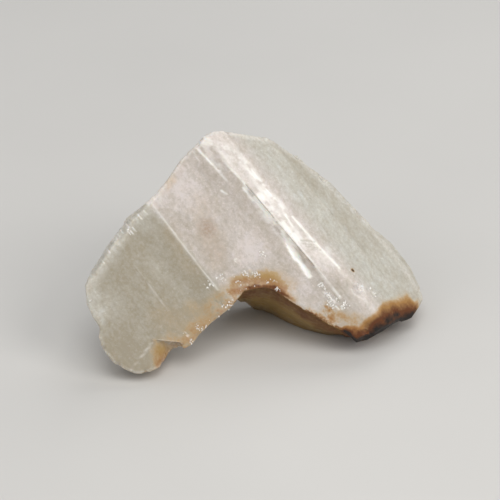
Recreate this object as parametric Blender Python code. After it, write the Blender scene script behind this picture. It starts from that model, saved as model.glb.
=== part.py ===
"""A hand-sized lump of cleaved calcite: one piece of stone that stands on a leg and a keel.

The stone is described as it looks square to its big front cleavage face, in millimetres:
u runs right, v runs up the face and w comes out of it. Two more sets of directions are used.
Blade coordinates follow the thin cleavage layers that cross the face: s runs across them and
t along them. Cleavage coordinates are distances from the top corner along the three directions
in which calcite splits: along the blades, along the upper left edge, and into the stone.
"""

import math
import random

import bmesh
import bpy
from mathutils import Matrix, Vector, noise

MM = 0.001

# How the stone stands
LEAN = math.radians(35.0)  # the front face leans back from upright
TURN = 0.15  # the face falls back this much for each millimetre to the right
LEG_U = -26.0  # where the leg meets the surface
GROUND_DROP = 3.2  # height of the origin of u, v, w above the surface it rests on
CENTRE_U, CENTRE_Y = 0.65, 25.521  # bring the middle of the stone's box over the origin

# The blades run down to the right at this angle
BLADE_SLOPE = math.radians(50.0)
SIN, COS = math.sin(BLADE_SLOPE), math.cos(BLADE_SLOPE)

# Edge of the stone as seen square to the front face, clockwise from the top
TOP_END = [(-9.7, 57.4), (-7.6, 57.7), (-4.3, 57.1), (2.7, 56.2), (4.7, 55.4), (8.8, 52.5),
           (10.5, 52.3), (12.2, 50.1)]
RIGHT_EDGE = [(17.8, 46.3), (23.3, 40.5), (29.0, 34.9), (33.0, 31.4), (38.0, 25.3), (40.1, 20.8)]
RIGHT_END = [(41.0, 17.4), (40.0, 15.8), (38.0, 13.1), (34.2, 11.6), (30.2, 9.6), (27.0, 7.8),
             (24.2, 7.2)]
ARCH_LIP = [(21.3, 10.0), (17.5, 11.7), (12.0, 15.0), (6.5, 18.6), (4.4, 19.9), (2.2, 20.4),
            (-2.2, 19.6)]
LEG_INSIDE = [(-5.4, 15.8), (-9.8, 12.3), (-13.0, 9.1), (-14.4, 7.2), (-16.5, 5.9), (-18.4, 6.4)]
FOOT = [(-19.7, 5.3), (-20.5, 3.7), (-22.2, 1.5), (-25.5, 0.2), (-27.8, 0.2), (-30.2, 1.1),
        (-32.9, 2.7), (-35.6, 6.0), (-36.5, 9.1)]
LEFT_EDGE = [(-36.2, 11.0), (-38.0, 13.8), (-39.3, 16.7), (-39.7, 21.1), (-38.4, 24.3),
             (-34.7, 30.5), (-30.0, 37.0), (-27.0, 39.2), (-23.2, 42.6), (-20.5, 45.9),
             (-17.3, 50.8), (-14.0, 53.8), (-11.9, 56.2)]
OUTLINE = TOP_END + RIGHT_EDGE + RIGHT_END + ARCH_LIP + LEG_INSIDE + FOOT + LEFT_EDGE

# Middle line of the two limbs, towards which the sides draw in behind the front
LIMB_LINE = [(-28.0, 9.0), (-20.0, 24.0), (-5.0, 40.0), (15.0, 32.0), (30.0, 19.0)]

# Front and back of the stone as a section across the blades (s, w)
STEP_LEG = 7.0  # the leg's face lies below the middle plate up to here
STEP_BAND = 27.3  # the bevelled band starts here with a step up
BAND_END = 31.5
SHOULDER_STEP = 38.7
FRONT_SECTION = [(-34.0, -0.4), (-5.1, 0.0), (-4.8, 0.35), (STEP_LEG - 0.3, 0.3),
                 (STEP_LEG + 0.2, 1.3), (STEP_BAND - 0.2, 1.1), (STEP_BAND, 2.1), (BAND_END, 0.7),
                 (SHOULDER_STEP, -5.2), (SHOULDER_STEP + 0.2, -5.65), (50.0, -15.8)]
BACK_SECTION = [(52.0, -23.0), (42.0, -27.0), (41.0, -28.4), (27.0, -29.6), (25.8, -27.6),
                (10.5, -26.4), (6.0, -11.2), (-4.0, -10.4), (-5.0, -8.8), (-34.0, -7.2)]
BLADES_FROM, BLADES_TO = -66.0, 28.0

# A thin blade left standing beside the band at its top end, and slivers broken off beside the
# band lower down, as corners (s, t, w)
TOP_BLADE = [(24.3, -66.0, 1.0), (24.5, -66.0, 1.9), (27.6, -66.0, 2.3), (27.6, -66.0, 1.0),
             (24.4, -43.0, 1.0), (24.6, -43.5, 1.8), (27.6, -41.0, 2.1), (27.6, -39.0, 1.0),
             (25.6, -38.5, 1.0)]
BAND_SLIVERS = [[(25.3, -23.0, 1.3), (27.4, -24.0, 0.5), (27.4, -10.0, 0.3), (24.4, -9.0, 1.3),
                 (25.3, -23.0, 3.0), (27.4, -24.0, 3.0), (27.4, -10.0, 3.0), (24.4, -9.0, 3.0)],
                [(26.3, -35.0, 1.3), (27.4, -36.0, 0.6), (27.4, -25.0, 0.4), (25.9, -25.0, 1.3),
                 (26.3, -35.0, 3.0), (27.4, -36.0, 3.0), (27.4, -25.0, 3.0), (25.9, -25.0, 3.0)]]

# Outer skin
SAMPLE = 1.5  # spacing of the points round the edge
WOBBLE, WOBBLE_SCALE = 0.5, 0.35  # height and fineness of the roughness of the broken sides
EDGE_WEAR = 0.5  # width of the worn front edge
LEFT_CHIP_WIDTH = 2.3  # chipped bevel along the upper left of the leg
LEFT_CHIP_FROM, LEFT_CHIP_TO = 22.0, 41.0  # its reach along v
END_CHIP_WIDTH = 3.0  # broken bevel under the right end
END_CHIP_FROM, END_CHIP_TO, END_CHIP_TOP = 22.0, 39.5, 19.0  # its reach along u and up v
CHIP_FADE = 3.0  # length over which a bevel narrows at its ends
BEVEL_CLEAR = 0.7  # how far the bevels run out past the front
FAR_FRONT, FAR_BACK = 16.0, -46.0
SIDE_RINGS = [(1.8, 0.35), (4.0, 0.7), (6.5, 1.2), (9.5, 1.9), (13.0, 2.7), (17.0, 3.5),
              (22.0, 4.4), (28.0, 5.2)]  # depth, draw-in
MOST_DRAW_IN = 0.55  # as a share of the way to the limbs' middle line

# Underside of the right limb, seen under the arch's lip
KEEL_FROM, KEEL_TO, KEEL_TOP = -4.0, 24.6, 21.0  # its reach along u and up v
KEEL_DROP = 6.6  # how far it hangs below the lip
KEEL_SKEW = 0.6  # under 1 moves its deepest place to the left
KEEL_BULGE = 0.75  # under 1 makes it drop more right behind the lip
LIP_THICKNESS = 1.4
LIP_UNDERCUT = 0.9
LEAST_DEPTH = 6.0  # thickness of the keel where the surface is near
UNDER_SURFACE = 1.0  # how far the keel's side runs on under the surface

# The three cleavage directions as (u, v, w), and the corner that distances along them start from
ALONG = Vector((COS, -SIN, 0.0))
EDGE = Vector((-0.657, -0.754, 0.0)).normalized()
INTO = Vector((0.27 * COS - 0.2 * SIN, -0.27 * SIN - 0.2 * COS, -1.0)).normalized()
TOP_CORNER = Vector((-9.7, 57.5, 0.0))
FAR = 70.0  # reach of a cut that runs right out of the stone

# Cleavage steps, each cut from its depth backwards
LEFT_STEPS = [(0.8, 5.0), (3.2, 12.5), (6.4, 19.0)]  # distance along the blades, depth
RIGHT_STEPS = [(13.3, 18.5), (11.2, 22.5), (8.6, 25.5)]  # distance against EDGE, depth
BACK_STEPS = [(34.0, 25.2), (22.0, 22.6), (11.5, 18.8)]  # distance along the blades, depth

# Broken side of the foot, seen through its notch, as corners (u, v, w)
FOOT_BREAK = [(-24.1, 8.3, 1.0), (-18.2, 7.7, 1.0), (-23.7, -2.0, 1.0), (-15.0, -2.0, 1.0),
              (-24.1, 8.3, -0.3), (-23.7, -2.0, -0.5), (-19.5, 7.9, -3.6), (-19.4, -2.0, -4.2),
              (-15.0, 7.4, -3.6), (-15.0, -2.0, -4.2)]

# Small cleavage chips missing from the front edge and from the ridges of the cleavage steps
CHIP_SEED = 4
RIM_CHIPS = 24
RIM_CHIP_SIDE = (0.9, 2.9)
RIDGE_CHIPS = 3  # on each ridge
RIDGE_CHIP_LENGTH, RIDGE_CHIP_DEPTH = (3.5, 9.5), (1.2, 3.4)
RIDGE_FROM, RIDGE_TO = -8.0, 24.0  # reach of the ridges along EDGE
LONG_RIDGE_FROM, LONG_RIDGE_TO = 12.0, 58.0  # reach of the ridges along the blades


def blade_to_face(s, t, w):
    """Turns blade coordinates into a face point (u, v, w)."""
    return Vector((s * SIN + t * COS, s * COS - t * SIN, w))


def cleavage_to_face(along, edge, into):
    """Turns cleavage coordinates into a face point (u, v, w)."""
    return TOP_CORNER + ALONG * along + EDGE * edge + INTO * into


def stand_up(point):
    """Puts a face point (u, v, w) in its place over the surface, in metres."""
    u, v, w = point
    out = w - TURN * (u - LEG_U)
    y = v * math.sin(LEAN) - out * math.cos(LEAN) - CENTRE_Y
    z = v * math.cos(LEAN) + out * math.sin(LEAN) + GROUND_DROP
    return Vector((u - CENTRE_U, y, z)) * MM


def ground_depth(u, v):
    """Gives the w at which a line into the stone meets the surface that it rests on."""
    out = -(GROUND_DROP + v * math.cos(LEAN)) / math.sin(LEAN)
    return out + TURN * (u - LEG_U)


def front_height(u, v):
    """Gives the w of the front at a point, from the section across the blades."""
    s = u * SIN + v * COS
    for (s0, w0), (s1, w1) in zip(FRONT_SECTION, FRONT_SECTION[1:]):
        if s0 <= s <= s1:
            return w0 + (w1 - w0) * (s - s0) / (s1 - s0)
    return FRONT_SECTION[-1][1]


def smooth_step(low, high, value):
    """Goes smoothly from 0 at low to 1 at high."""
    x = min(1.0, max(0.0, (value - low) / (high - low)))
    return x * x * (3.0 - 2.0 * x)


def edge_points():
    """Samples the outline evenly, keeping its corners."""
    points = []
    for start, end in zip(OUTLINE, OUTLINE[1:] + OUTLINE[:1]):
        a, b = Vector(start), Vector(end)
        parts = max(1, round((b - a).length / SAMPLE))
        points += [a.lerp(b, i / parts) for i in range(parts)]
    return points


def towards_middle(point):
    """Gives the direction and the distance from an edge point to the limbs' middle line."""
    best = None
    for start, end in zip(LIMB_LINE, LIMB_LINE[1:]):
        a, b = Vector(start), Vector(end)
        share = min(1.0, max(0.0, (point - a).dot(b - a) / (b - a).length_squared))
        way = a.lerp(b, share) - point
        if best is None or way.length < best.length:
            best = way
    return best.normalized(), best.length


def plateau(start, end, value):
    """Goes smoothly from 0 to 1 past start, and back to 0 before end."""
    return smooth_step(start, start + CHIP_FADE, value) * smooth_step(end, end - CHIP_FADE, value)


def front_chip(u, v):
    """Gives the width of the bevel between the front and the side at an edge point."""
    if u < 0.0:
        share, widest = plateau(LEFT_CHIP_FROM, LEFT_CHIP_TO, v), LEFT_CHIP_WIDTH
    elif v < END_CHIP_TOP:
        share, widest = plateau(END_CHIP_FROM, END_CHIP_TO, u), END_CHIP_WIDTH
    else:
        return EDGE_WEAR
    return EDGE_WEAR + share * (widest - EDGE_WEAR)


def keel_drop(u, v):
    """Gives how far the underside hangs below the lip of the arch at an edge point."""
    if not KEEL_FROM < u < KEEL_TO or v > KEEL_TOP:
        return 0.0
    share = (u - KEEL_FROM) / (KEEL_TO - KEEL_FROM)
    return KEEL_DROP * math.sin(math.pi * share**KEEL_SKEW)


def rough(u, v, w):
    """Gives a smooth random value between about -1.5 and 1.5 that belongs to a place."""
    coarse = noise.noise(Vector((u, v, w)) * WOBBLE_SCALE)
    fine = noise.noise(Vector((v, w, u)) * WOBBLE_SCALE * 2.3)
    return coarse + 0.5 * fine


def side_point(point, depth, draw_in, roughness=0.0):
    """Gives the skin's point at a depth under one place of the edge."""
    inward, reach = towards_middle(point)
    shift = min(draw_in, MOST_DRAW_IN * reach) + roughness * WOBBLE * rough(*point, depth)
    return (point + inward * shift).to_3d() + Vector((0.0, 0.0, depth))


def side_column(point):
    """Gives the skin's points at one place of the edge, from front to back."""
    u, v = point
    chip = front_chip(u, v)
    rim = front_height(u, v) - chip
    past = chip + BEVEL_CLEAR
    front = [(FAR_FRONT, past), (rim + past, past), (rim, 0.0)]
    column = [side_point(point, depth, draw_in) for depth, draw_in in front]
    drop = keel_drop(u, v)
    foot = min(ground_depth(u, v - drop), rim - LEAST_DEPTH) - UNDER_SURFACE
    under_arch = smooth_step(0.0, 0.9, drop)
    for i, (deep, draw_in) in enumerate(SIDE_RINGS):
        plain = side_point(point, rim - deep, draw_in, 1.0)
        share = i / (len(SIDE_RINGS) - 1)
        undercut = LIP_UNDERCUT * (1.0 - smooth_step(0.0, 0.5, share))
        keel = side_point(point, rim - LIP_THICKNESS + (foot - rim) * share, undercut, 0.5)
        keel.y -= drop * share**KEEL_BULGE
        column.append(plain.lerp(keel, under_arch))
    column.append(Vector((column[-1].x, column[-1].y, FAR_BACK)))
    return column


def skin(bm):
    """Fills a bmesh with the outer skin: rings of the outline from front to back."""
    columns = [side_column(point) for point in edge_points()]
    rings = [[bm.verts.new(column[i]) for column in columns] for i in range(len(columns[0]))]
    count = len(columns)
    for front, back in zip(rings, rings[1:]):
        for i in range(count):
            j = (i + 1) % count
            bm.faces.new((front[i], front[j], back[j], back[i]))
    bm.faces.new(rings[0])
    bm.faces.new(list(reversed(rings[-1])))


def blade_bar(bm):
    """Fills a bmesh with the bar that has the stone's section, along the blades."""
    section = FRONT_SECTION + BACK_SECTION
    near = [bm.verts.new(blade_to_face(s, BLADES_FROM, w)) for s, w in section]
    far = [bm.verts.new(blade_to_face(s, BLADES_TO, w)) for s, w in section]
    count = len(section)
    for i in range(count):
        j = (i + 1) % count
        bm.faces.new((near[i], near[j], far[j], far[i]))
    bm.faces.new(list(reversed(near)))
    bm.faces.new(far)


def hull(bm, points):
    """Adds the convex solid round some face points."""
    made = bmesh.ops.convex_hull(bm, input=[bm.verts.new(point) for point in points])
    inside = {v for v in made["geom_interior"] if isinstance(v, bmesh.types.BMVert)}
    bmesh.ops.delete(bm, geom=list(inside), context="VERTS")


def rhomb(bm, corner, sides):
    """Adds a block with cleavage faces, from a corner and three side lengths."""
    corners = [(x, y, z) for x in (0, 1) for y in (0, 1) for z in (0, 1)]
    points = []
    for ks in corners:
        place = [c + k * side for c, k, side in zip(corner, ks, sides)]
        points.append(cleavage_to_face(*place))
    hull(bm, points)


def face_to_cleavage(point):
    """Gives the cleavage coordinates of a face point (u, v, w)."""
    return Matrix((ALONG, EDGE, INTO)).transposed().inverted() @ (Vector(point) - TOP_CORNER)


def rim_chips(dice):
    """Lists the middle and the side lengths of the chips round the front, in cleavage coordinates."""
    rim = [p for p in edge_points() if p.y > KEEL_TOP or p.x < KEEL_FROM]
    for point in dice.sample(rim, RIM_CHIPS):
        place = face_to_cleavage((*point, front_height(*point)))
        yield place, [dice.uniform(*RIM_CHIP_SIDE) for _ in range(3)]


def ridge_chips(dice):
    """Lists the middle and the side lengths of the chips on the ridges of the cleavage steps."""
    ridges = []
    for (along, _), (_, depth) in zip(LEFT_STEPS, LEFT_STEPS[1:]):
        ridges.append(((along, RIDGE_FROM, depth), (along, RIDGE_TO, depth), 1))
    for (across, _), (_, depth) in zip(RIGHT_STEPS, RIGHT_STEPS[1:]):
        ridges.append(((LONG_RIDGE_FROM, -across, depth), (LONG_RIDGE_TO, -across, depth), 0))
    for (_, depth), (along, _) in zip(BACK_STEPS, BACK_STEPS[1:]):
        ridges.append(((along, RIDGE_FROM, depth), (along, RIDGE_TO, depth), 1))
    for start, end, axis in ridges:
        for i in range(RIDGE_CHIPS):
            share = (i + dice.random()) / RIDGE_CHIPS
            sides = [dice.uniform(*RIDGE_CHIP_DEPTH) for _ in range(3)]
            sides[axis] = dice.uniform(*RIDGE_CHIP_LENGTH)
            yield Vector(start).lerp(Vector(end), share), sides


def chips(bm):
    """Fills a bmesh with the missing chips, leaving out each that would touch an earlier one."""
    dice = random.Random(CHIP_SEED)
    kept = []
    for place, sides in [*rim_chips(dice), *ridge_chips(dice)]:
        corners = [place + Vector(sides) * k for k in (-0.5, 0.5)]
        start, end = (cleavage_to_face(*corner) for corner in corners)
        middle, reach = (start + end) / 2, 0.6 * Vector(sides).length
        if all((middle - other).length > reach + other_reach for other, other_reach in kept):
            kept.append((middle, reach))
            rhomb(bm, corners[0], sides)


def slivers(bm):
    """Fills a bmesh with the slivers that are missing beside the band."""
    for corners in BAND_SLIVERS:
        hull(bm, [blade_to_face(*corner) for corner in corners])


def mesh_object(name, fill, *inputs):
    """Makes an object from a function that fills a bmesh with face points."""
    bm = bmesh.new()
    fill(bm, *inputs)
    bmesh.ops.triangulate(bm, faces=[f for f in bm.faces if len(f.verts) > 4])
    for vert in bm.verts:
        vert.co = stand_up(vert.co)
    bmesh.ops.recalc_face_normals(bm, faces=bm.faces)
    mesh = bpy.data.meshes.new(name)
    bm.to_mesh(mesh)
    bm.free()
    obj = bpy.data.objects.new(name, mesh)
    bpy.context.scene.collection.objects.link(obj)
    return obj


def cut(stone, name, operation, fill, *inputs):
    """Joins a helper to the stone, cuts it away, or keeps only what lies in it."""
    helper = mesh_object(name, fill, *inputs)
    helper.hide_render = True
    helper.display_type = "WIRE"
    step = stone.modifiers.new(name, "BOOLEAN")
    step.operation = operation
    step.object = helper
    step.solver = "EXACT"


def close_up(stone, name):
    """Joins corners that lie on each other."""
    stone.modifiers.new(name, "WELD").merge_threshold = 0.003 * MM


def under_surface(bm):
    """Fills a bmesh with the space under the surface that the stone rests on."""
    corners = []
    for u in (-80.0, 80.0):
        for v in (-60.0, 90.0):
            corners.append((u, v, ground_depth(u, v)))
            corners.append((u, v - 60.0, ground_depth(u, v) - 60.0))
    hull(bm, corners)


def calcite_material():
    """Makes the milky stone's material."""
    material = bpy.data.materials.new("calcite")
    material.use_nodes = True
    shader = material.node_tree.nodes["Principled BSDF"]
    shader.inputs["Base Color"].default_value = (0.58, 0.53, 0.46, 1.0)
    shader.inputs["Roughness"].default_value = 0.35
    shader.inputs["Metallic"].default_value = 0.0
    return material


def main():
    """Builds the stone."""
    for obj in list(bpy.data.objects):
        bpy.data.objects.remove(obj)
    stone = mesh_object("calcite", blade_bar)
    cut(stone, "top_blade", "UNION", hull, [blade_to_face(*corner) for corner in TOP_BLADE])
    cut(stone, "band_slivers", "DIFFERENCE", slivers)
    cut(stone, "outer_skin", "INTERSECT", skin)
    close_up(stone, "skin_corners")
    cut(stone, "foot_break", "DIFFERENCE", hull, FOOT_BREAK)
    for i, (along, depth) in enumerate(LEFT_STEPS):
        corner = (along - FAR, -FAR, depth)
        cut(stone, f"left_step_{i}", "DIFFERENCE", rhomb, corner, (FAR, 2 * FAR, FAR))
    for i, (across, depth) in enumerate(RIGHT_STEPS):
        corner = (-FAR, -across - FAR, depth)
        cut(stone, f"right_step_{i}", "DIFFERENCE", rhomb, corner, (3 * FAR, FAR, FAR))
    for i, (along, depth) in enumerate(BACK_STEPS):
        corner = (along - FAR, -FAR, depth)
        cut(stone, f"back_step_{i}", "DIFFERENCE", rhomb, corner, (FAR, 3 * FAR, FAR))
    cut(stone, "under_surface", "DIFFERENCE", under_surface)
    close_up(stone, "step_corners")
    cut(stone, "edge_chips", "DIFFERENCE", chips)
    stone.data.materials.append(calcite_material())


main()
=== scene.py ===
"""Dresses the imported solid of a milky, iron-stained lump of cleaved calcite.

The stone is described in face coordinates, in millimetres, as it looks square to its big front
cleavage face: u runs right, v runs up the face and w comes out of it. Along the blades, the thin
cleavage layers that cross the face, s runs across them and t along them.
"""

import logging
import math
from dataclasses import dataclass
from enum import Enum

import bmesh
import bpy
import numpy as np
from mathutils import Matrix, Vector
from mathutils.bvhtree import BVHTree

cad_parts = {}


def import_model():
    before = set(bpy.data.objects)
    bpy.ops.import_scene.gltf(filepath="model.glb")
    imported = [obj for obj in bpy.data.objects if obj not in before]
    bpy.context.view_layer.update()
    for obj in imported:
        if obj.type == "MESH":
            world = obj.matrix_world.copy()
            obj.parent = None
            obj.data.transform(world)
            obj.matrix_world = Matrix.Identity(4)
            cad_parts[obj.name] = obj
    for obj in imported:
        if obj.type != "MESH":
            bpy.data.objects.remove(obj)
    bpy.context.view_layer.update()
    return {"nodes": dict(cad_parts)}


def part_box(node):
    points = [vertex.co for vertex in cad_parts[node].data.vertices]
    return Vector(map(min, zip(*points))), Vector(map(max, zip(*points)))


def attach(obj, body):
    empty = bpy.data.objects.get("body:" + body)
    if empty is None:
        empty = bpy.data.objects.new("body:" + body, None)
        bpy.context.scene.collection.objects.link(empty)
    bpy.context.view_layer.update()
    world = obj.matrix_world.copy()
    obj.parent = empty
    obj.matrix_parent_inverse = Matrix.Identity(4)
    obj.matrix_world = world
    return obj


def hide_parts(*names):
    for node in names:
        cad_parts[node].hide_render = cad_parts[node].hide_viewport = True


LOG = logging.getLogger("calcite")
MM = 0.001
Colour = tuple[float, float, float]
Path = tuple[tuple[float, float], ...]
Ramp = tuple[float, float]
Span = tuple[float, float, float, float]
Socket = bpy.types.NodeSocket
Axes = tuple[Vector, Vector, Vector]


class Mark(Enum):
    """The measured marks of the stone's surface, some of them painted light or shade, each a channel of a
    colour attribute.
    """

    STAIN = ("tints", 0)
    RUST = ("tints", 1)
    # Milkiness, with painted light on the upper left strip and painted sheen on the band.
    MILK = ("tints", 2)
    BLUSH = ("wear", 0)
    # Frosting of broken places, and painted rim light along the edges and the upper left strip.
    FROST = ("wear", 1)
    CORE = ("wear", 2)
    # White lines, bruised chips and flecks: partly white wear, partly painted glints and sheen.
    BRIGHT = ("sheen", 0)
    COOL = ("sheen", 1)
    SPECK = ("sheen", 2)
    GOLD = ("tones", 0)
    # Darker olive tone of the arch's underside, partly painted shade.
    OLIVE = ("tones", 1)
    SIDE = ("tones", 2)


def smooth_step(low: float, high: float, value: np.ndarray) -> np.ndarray:
    """Goes smoothly from 0 at low to 1 at high.

    Args:
        low: Where the result is 0.
        high: Where the result is 1; it may lie below low.
        value: The values to treat.

    Returns:
        The smoothed share of each value, from 0 to 1.
    """
    x = np.clip((value - low) / (high - low), 0.0, 1.0)
    return x * x * (3.0 - 2.0 * x)


def hump(start: float, end: float, soft: float, value: np.ndarray) -> np.ndarray:
    """Is 1 between start and end, and falls smoothly to 0 over a soft width inside them.

    Args:
        start: Lower limit.
        end: Upper limit.
        soft: Width of each slope.
        value: The values to treat.

    Returns:
        The share of each value, from 0 to 1.
    """
    return smooth_step(start, start + soft, value) * smooth_step(end, end - soft, value)


def line_distance(points: np.ndarray, path: Path) -> np.ndarray:
    """Measures how far points of the face lie from a path.

    Args:
        points: One row (u, v) for each point.
        path: The path's corners (u, v).

    Returns:
        The distance of each point to the nearest place of the path, in millimetres.
    """
    best = np.full(len(points), 1e9)
    for start, end in zip(path, path[1:]):
        a, b = np.array(start), np.array(end)
        along = b - a
        share = np.clip((points - a) @ along / (along @ along), 0.0, 1.0)
        best = np.minimum(best, np.linalg.norm(points - a - share[:, None] * along, axis=1))
    return best


class Lattice:
    """Smooth random values that belong to places, the same on every run."""

    SIZE = 48

    def __init__(self, seed: int) -> None:
        """Fills the lattice.

        Args:
            seed: The seed of its random values.
        """
        shape = (self.SIZE,) * 3
        self.table = np.random.default_rng(seed).uniform(-1.0, 1.0, shape)

    def at(self, places: np.ndarray, scale: float | tuple[float, float, float]) -> np.ndarray:
        """Reads the lattice.

        Args:
            places: One row of three coordinates for each place.
            scale: Lattice cells for each unit, the same or one for each axis.

        Returns:
            A value from -1 to 1 for each place.
        """
        spot = places * np.array(scale)
        cell = np.floor(spot).astype(int)
        share = spot - cell
        share = share * share * (3.0 - 2.0 * share)
        total = np.zeros(len(places))
        for corner in np.ndindex(2, 2, 2):
            index = (cell + corner) % self.SIZE
            weight = np.prod(np.where(corner, share, 1.0 - share), axis=1)
            total += weight * self.table[index[:, 0], index[:, 1], index[:, 2]]
        return total


@dataclass(frozen=True)
class Ripple:
    """Smooth random waves: their height, and the lattice cells for each millimetre."""

    height: float
    scale: float | tuple[float, float, float]

    def on(self, lattice: Lattice, places: np.ndarray) -> np.ndarray:
        """Gives the waves' value at each place.

        Args:
            lattice: The random values to read.
            places: One row of three coordinates for each place.

        Returns:
            A value between minus the height and the height for each place.
        """
        return self.height * lattice.at(places, self.scale)


@dataclass(frozen=True)
class Stance:
    """How the stone stands, and the turn between the world and its face coordinates."""

    lean: float = math.radians(35.0)
    turn: float = 0.15
    leg_u: float = -26.0
    ground_drop: float = 3.2
    centre_u: float = 0.65
    centre_y: float = 25.521
    blade_slope: float = math.radians(50.0)
    second_edge: tuple[float, float, float] = (-0.657, -0.754, 0.0)
    third_edge_lean: tuple[float, float] = (0.27, 0.2)
    front_section: Path = (
        (-34.0, -0.4), (-5.1, 0.0), (-4.8, 0.35), (6.7, 0.3), (7.2, 1.3), (27.1, 1.1), (27.3, 2.1),
        (31.5, 0.7), (38.7, -5.2), (38.9, -5.65), (50.0, -15.8))

    def to_face(self, world: np.ndarray) -> np.ndarray:
        """Turns world places in metres into face coordinates in millimetres.

        Args:
            world: One row (x, y, z) for each place.

        Returns:
            One row (u, v, w) for each place.
        """
        u, y, z = (world / MM + (self.centre_u, self.centre_y, -self.ground_drop)).T
        v = y * math.sin(self.lean) + z * math.cos(self.lean)
        out = -y * math.cos(self.lean) + z * math.sin(self.lean)
        return np.column_stack((u, v, out + self.turn * (u - self.leg_u)))

    def to_world(self, face: np.ndarray) -> np.ndarray:
        """Turns face coordinates in millimetres into world places in metres.

        Args:
            face: One row (u, v, w) for each place.

        Returns:
            One row (x, y, z) for each place.
        """
        u, v, w = face.T
        out = w - self.turn * (u - self.leg_u)
        y = v * math.sin(self.lean) - out * math.cos(self.lean) - self.centre_y
        z = v * math.cos(self.lean) + out * math.sin(self.lean) + self.ground_drop
        return np.column_stack((u - self.centre_u, y, z)) * MM

    def depth(self, face: np.ndarray) -> np.ndarray:
        """Gives how far places lie behind the front's stepped face, in millimetres."""
        s = self.blades(face)[:, 0]
        return np.interp(s, *zip(*self.front_section)) - face[:, 2]

    def out_of_face(self) -> Vector:
        """Gives the world direction that looks straight out of the front face."""
        return Vector((0.0, -math.cos(self.lean), math.sin(self.lean)))

    def blades(self, face: np.ndarray) -> np.ndarray:
        """Turns face coordinates into blade coordinates.

        Args:
            face: One row (u, v, w) for each place.

        Returns:
            One row (s, t, w) for each place.
        """
        sine, cosine = math.sin(self.blade_slope), math.cos(self.blade_slope)
        u, v, w = face.T
        return np.column_stack((u * sine + v * cosine, u * cosine - v * sine, w))

    def from_blades(self, blade: np.ndarray) -> np.ndarray:
        """Turns blade coordinates back into face coordinates.

        Args:
            blade: One row (s, t, w) for each place.

        Returns:
            One row (u, v, w) for each place.
        """
        sine, cosine = math.sin(self.blade_slope), math.cos(self.blade_slope)
        s, t, w = blade.T
        return np.column_stack((s * sine + t * cosine, s * cosine - t * sine, w))

    def cleavage_edges(self) -> np.ndarray:
        """Gives the three directions of the cleavage rhomb's edges in face coordinates, one a row."""
        sine, cosine = math.sin(self.blade_slope), math.cos(self.blade_slope)
        along, across = self.third_edge_lean
        third = (along * cosine - across * sine, -along * sine - across * cosine, -1.0)
        edges = np.array([(cosine, -sine, 0.0), self.second_edge, third])
        return edges / np.linalg.norm(edges, axis=1)[:, None]

    def split(self, face: np.ndarray) -> np.ndarray:
        """Gives how far places lie along the three cleavage edges, one row for each place."""
        return face @ np.linalg.inv(self.cleavage_edges())

    def blade_axes(self) -> Axes:
        """Gives the world directions across the blades, along them and out of the face."""
        rows = self.to_world(self.from_blades(np.vstack((np.zeros(3), np.eye(3)))))
        return tuple(Vector(row - rows[0]).normalized() for row in rows[1:])


@dataclass
class Plates:
    """Broken plates between cleavage planes, each standing a little higher or lower."""

    size: float
    seed: int
    reach: float = 120.0
    spacing: Ramp = (0.35, 1.65)

    def __post_init__(self) -> None:
        """Draws the uneven spacing of the three sets of cleavage planes and the plates' heights."""
        dice = np.random.default_rng(self.seed)
        count = int(2.0 * self.reach / self.size)
        gaps = [self.size * dice.uniform(*self.spacing, count) for _ in range(3)]
        self.planes = [np.cumsum(row) - self.reach for row in gaps]
        self.heights = dice.uniform(-1.0, 1.0, (count + 1,) * 3)

    def height(self, split: np.ndarray) -> np.ndarray:
        """Gives the height of the plate that each place is on.

        Args:
            split: One row of distances along the three cleavage edges for each place.

        Returns:
            A value from -1 to 1 for each place.
        """
        index = [np.searchsorted(planes, column) for planes, column in zip(self.planes, split.T)]
        return self.heights[tuple(index)]


@dataclass(frozen=True)
class Ledge:
    """A thin cleavage layer that stands up from the face, or lies under it, along the blades."""

    s_from: float
    s_to: float
    t_from: float
    t_to: float
    height: float
    edge: float = 0.16
    fade: float = 3.0

    def rise(self, blade: np.ndarray) -> np.ndarray:
        """Gives how far the ledge lifts each place.

        Args:
            blade: One row (s, t, w) for each place.

        Returns:
            The lift in millimetres.
        """
        across = smooth_step(self.s_from - self.edge, self.s_from + self.edge, blade[:, 0])
        across *= smooth_step(self.s_to + self.edge, self.s_to - self.edge, blade[:, 0])
        return self.height * across * hump(self.t_from, self.t_to, self.fade, blade[:, 1])


@dataclass(frozen=True)
class Bevel:
    """A slope that takes the place of a sharp riser, from one blade up to the next."""

    low: tuple[float, float]
    high: tuple[float, float]
    t_from: float = -90.0
    t_to: float = 40.0
    fade: float = 6.0
    reach_down: float = 2.5

    def rise(self, blade: np.ndarray) -> np.ndarray:
        """Gives how far each place lies under the slope.

        Args:
            blade: One row (s, t, w) for each place.

        Returns:
            The rise along w in millimetres.
        """
        s, t, w = blade.T
        slope = np.interp(s, (self.low[0], self.high[0]), (self.low[1], self.high[1]))
        inside = (s > self.low[0]) & (s < self.high[0]) & (w > self.low[1] - self.reach_down)
        return inside * hump(self.t_from, self.t_to, self.fade, t) * np.clip(slope - w, 0.0, None)


@dataclass(frozen=True)
class Spot:
    """A soft patch on the front face, long along the blades or round."""

    u: float
    v: float
    across: float
    along: float
    strength: float = 1.0

    def share(self, face: np.ndarray, stance: Stance) -> np.ndarray:
        """Gives how strongly the patch covers each place.

        Args:
            face: One row (u, v, w) for each place.
            stance: How the stone stands.

        Returns:
            The cover, from 0 to the patch's strength.
        """
        middle = stance.blades(np.array([[self.u, self.v, 0.0]]))[0]
        s, t, _ = (stance.blades(face) - middle).T
        return self.strength * smooth_step(1.0, 0.0, np.hypot(s / self.across, t / self.along))


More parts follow.
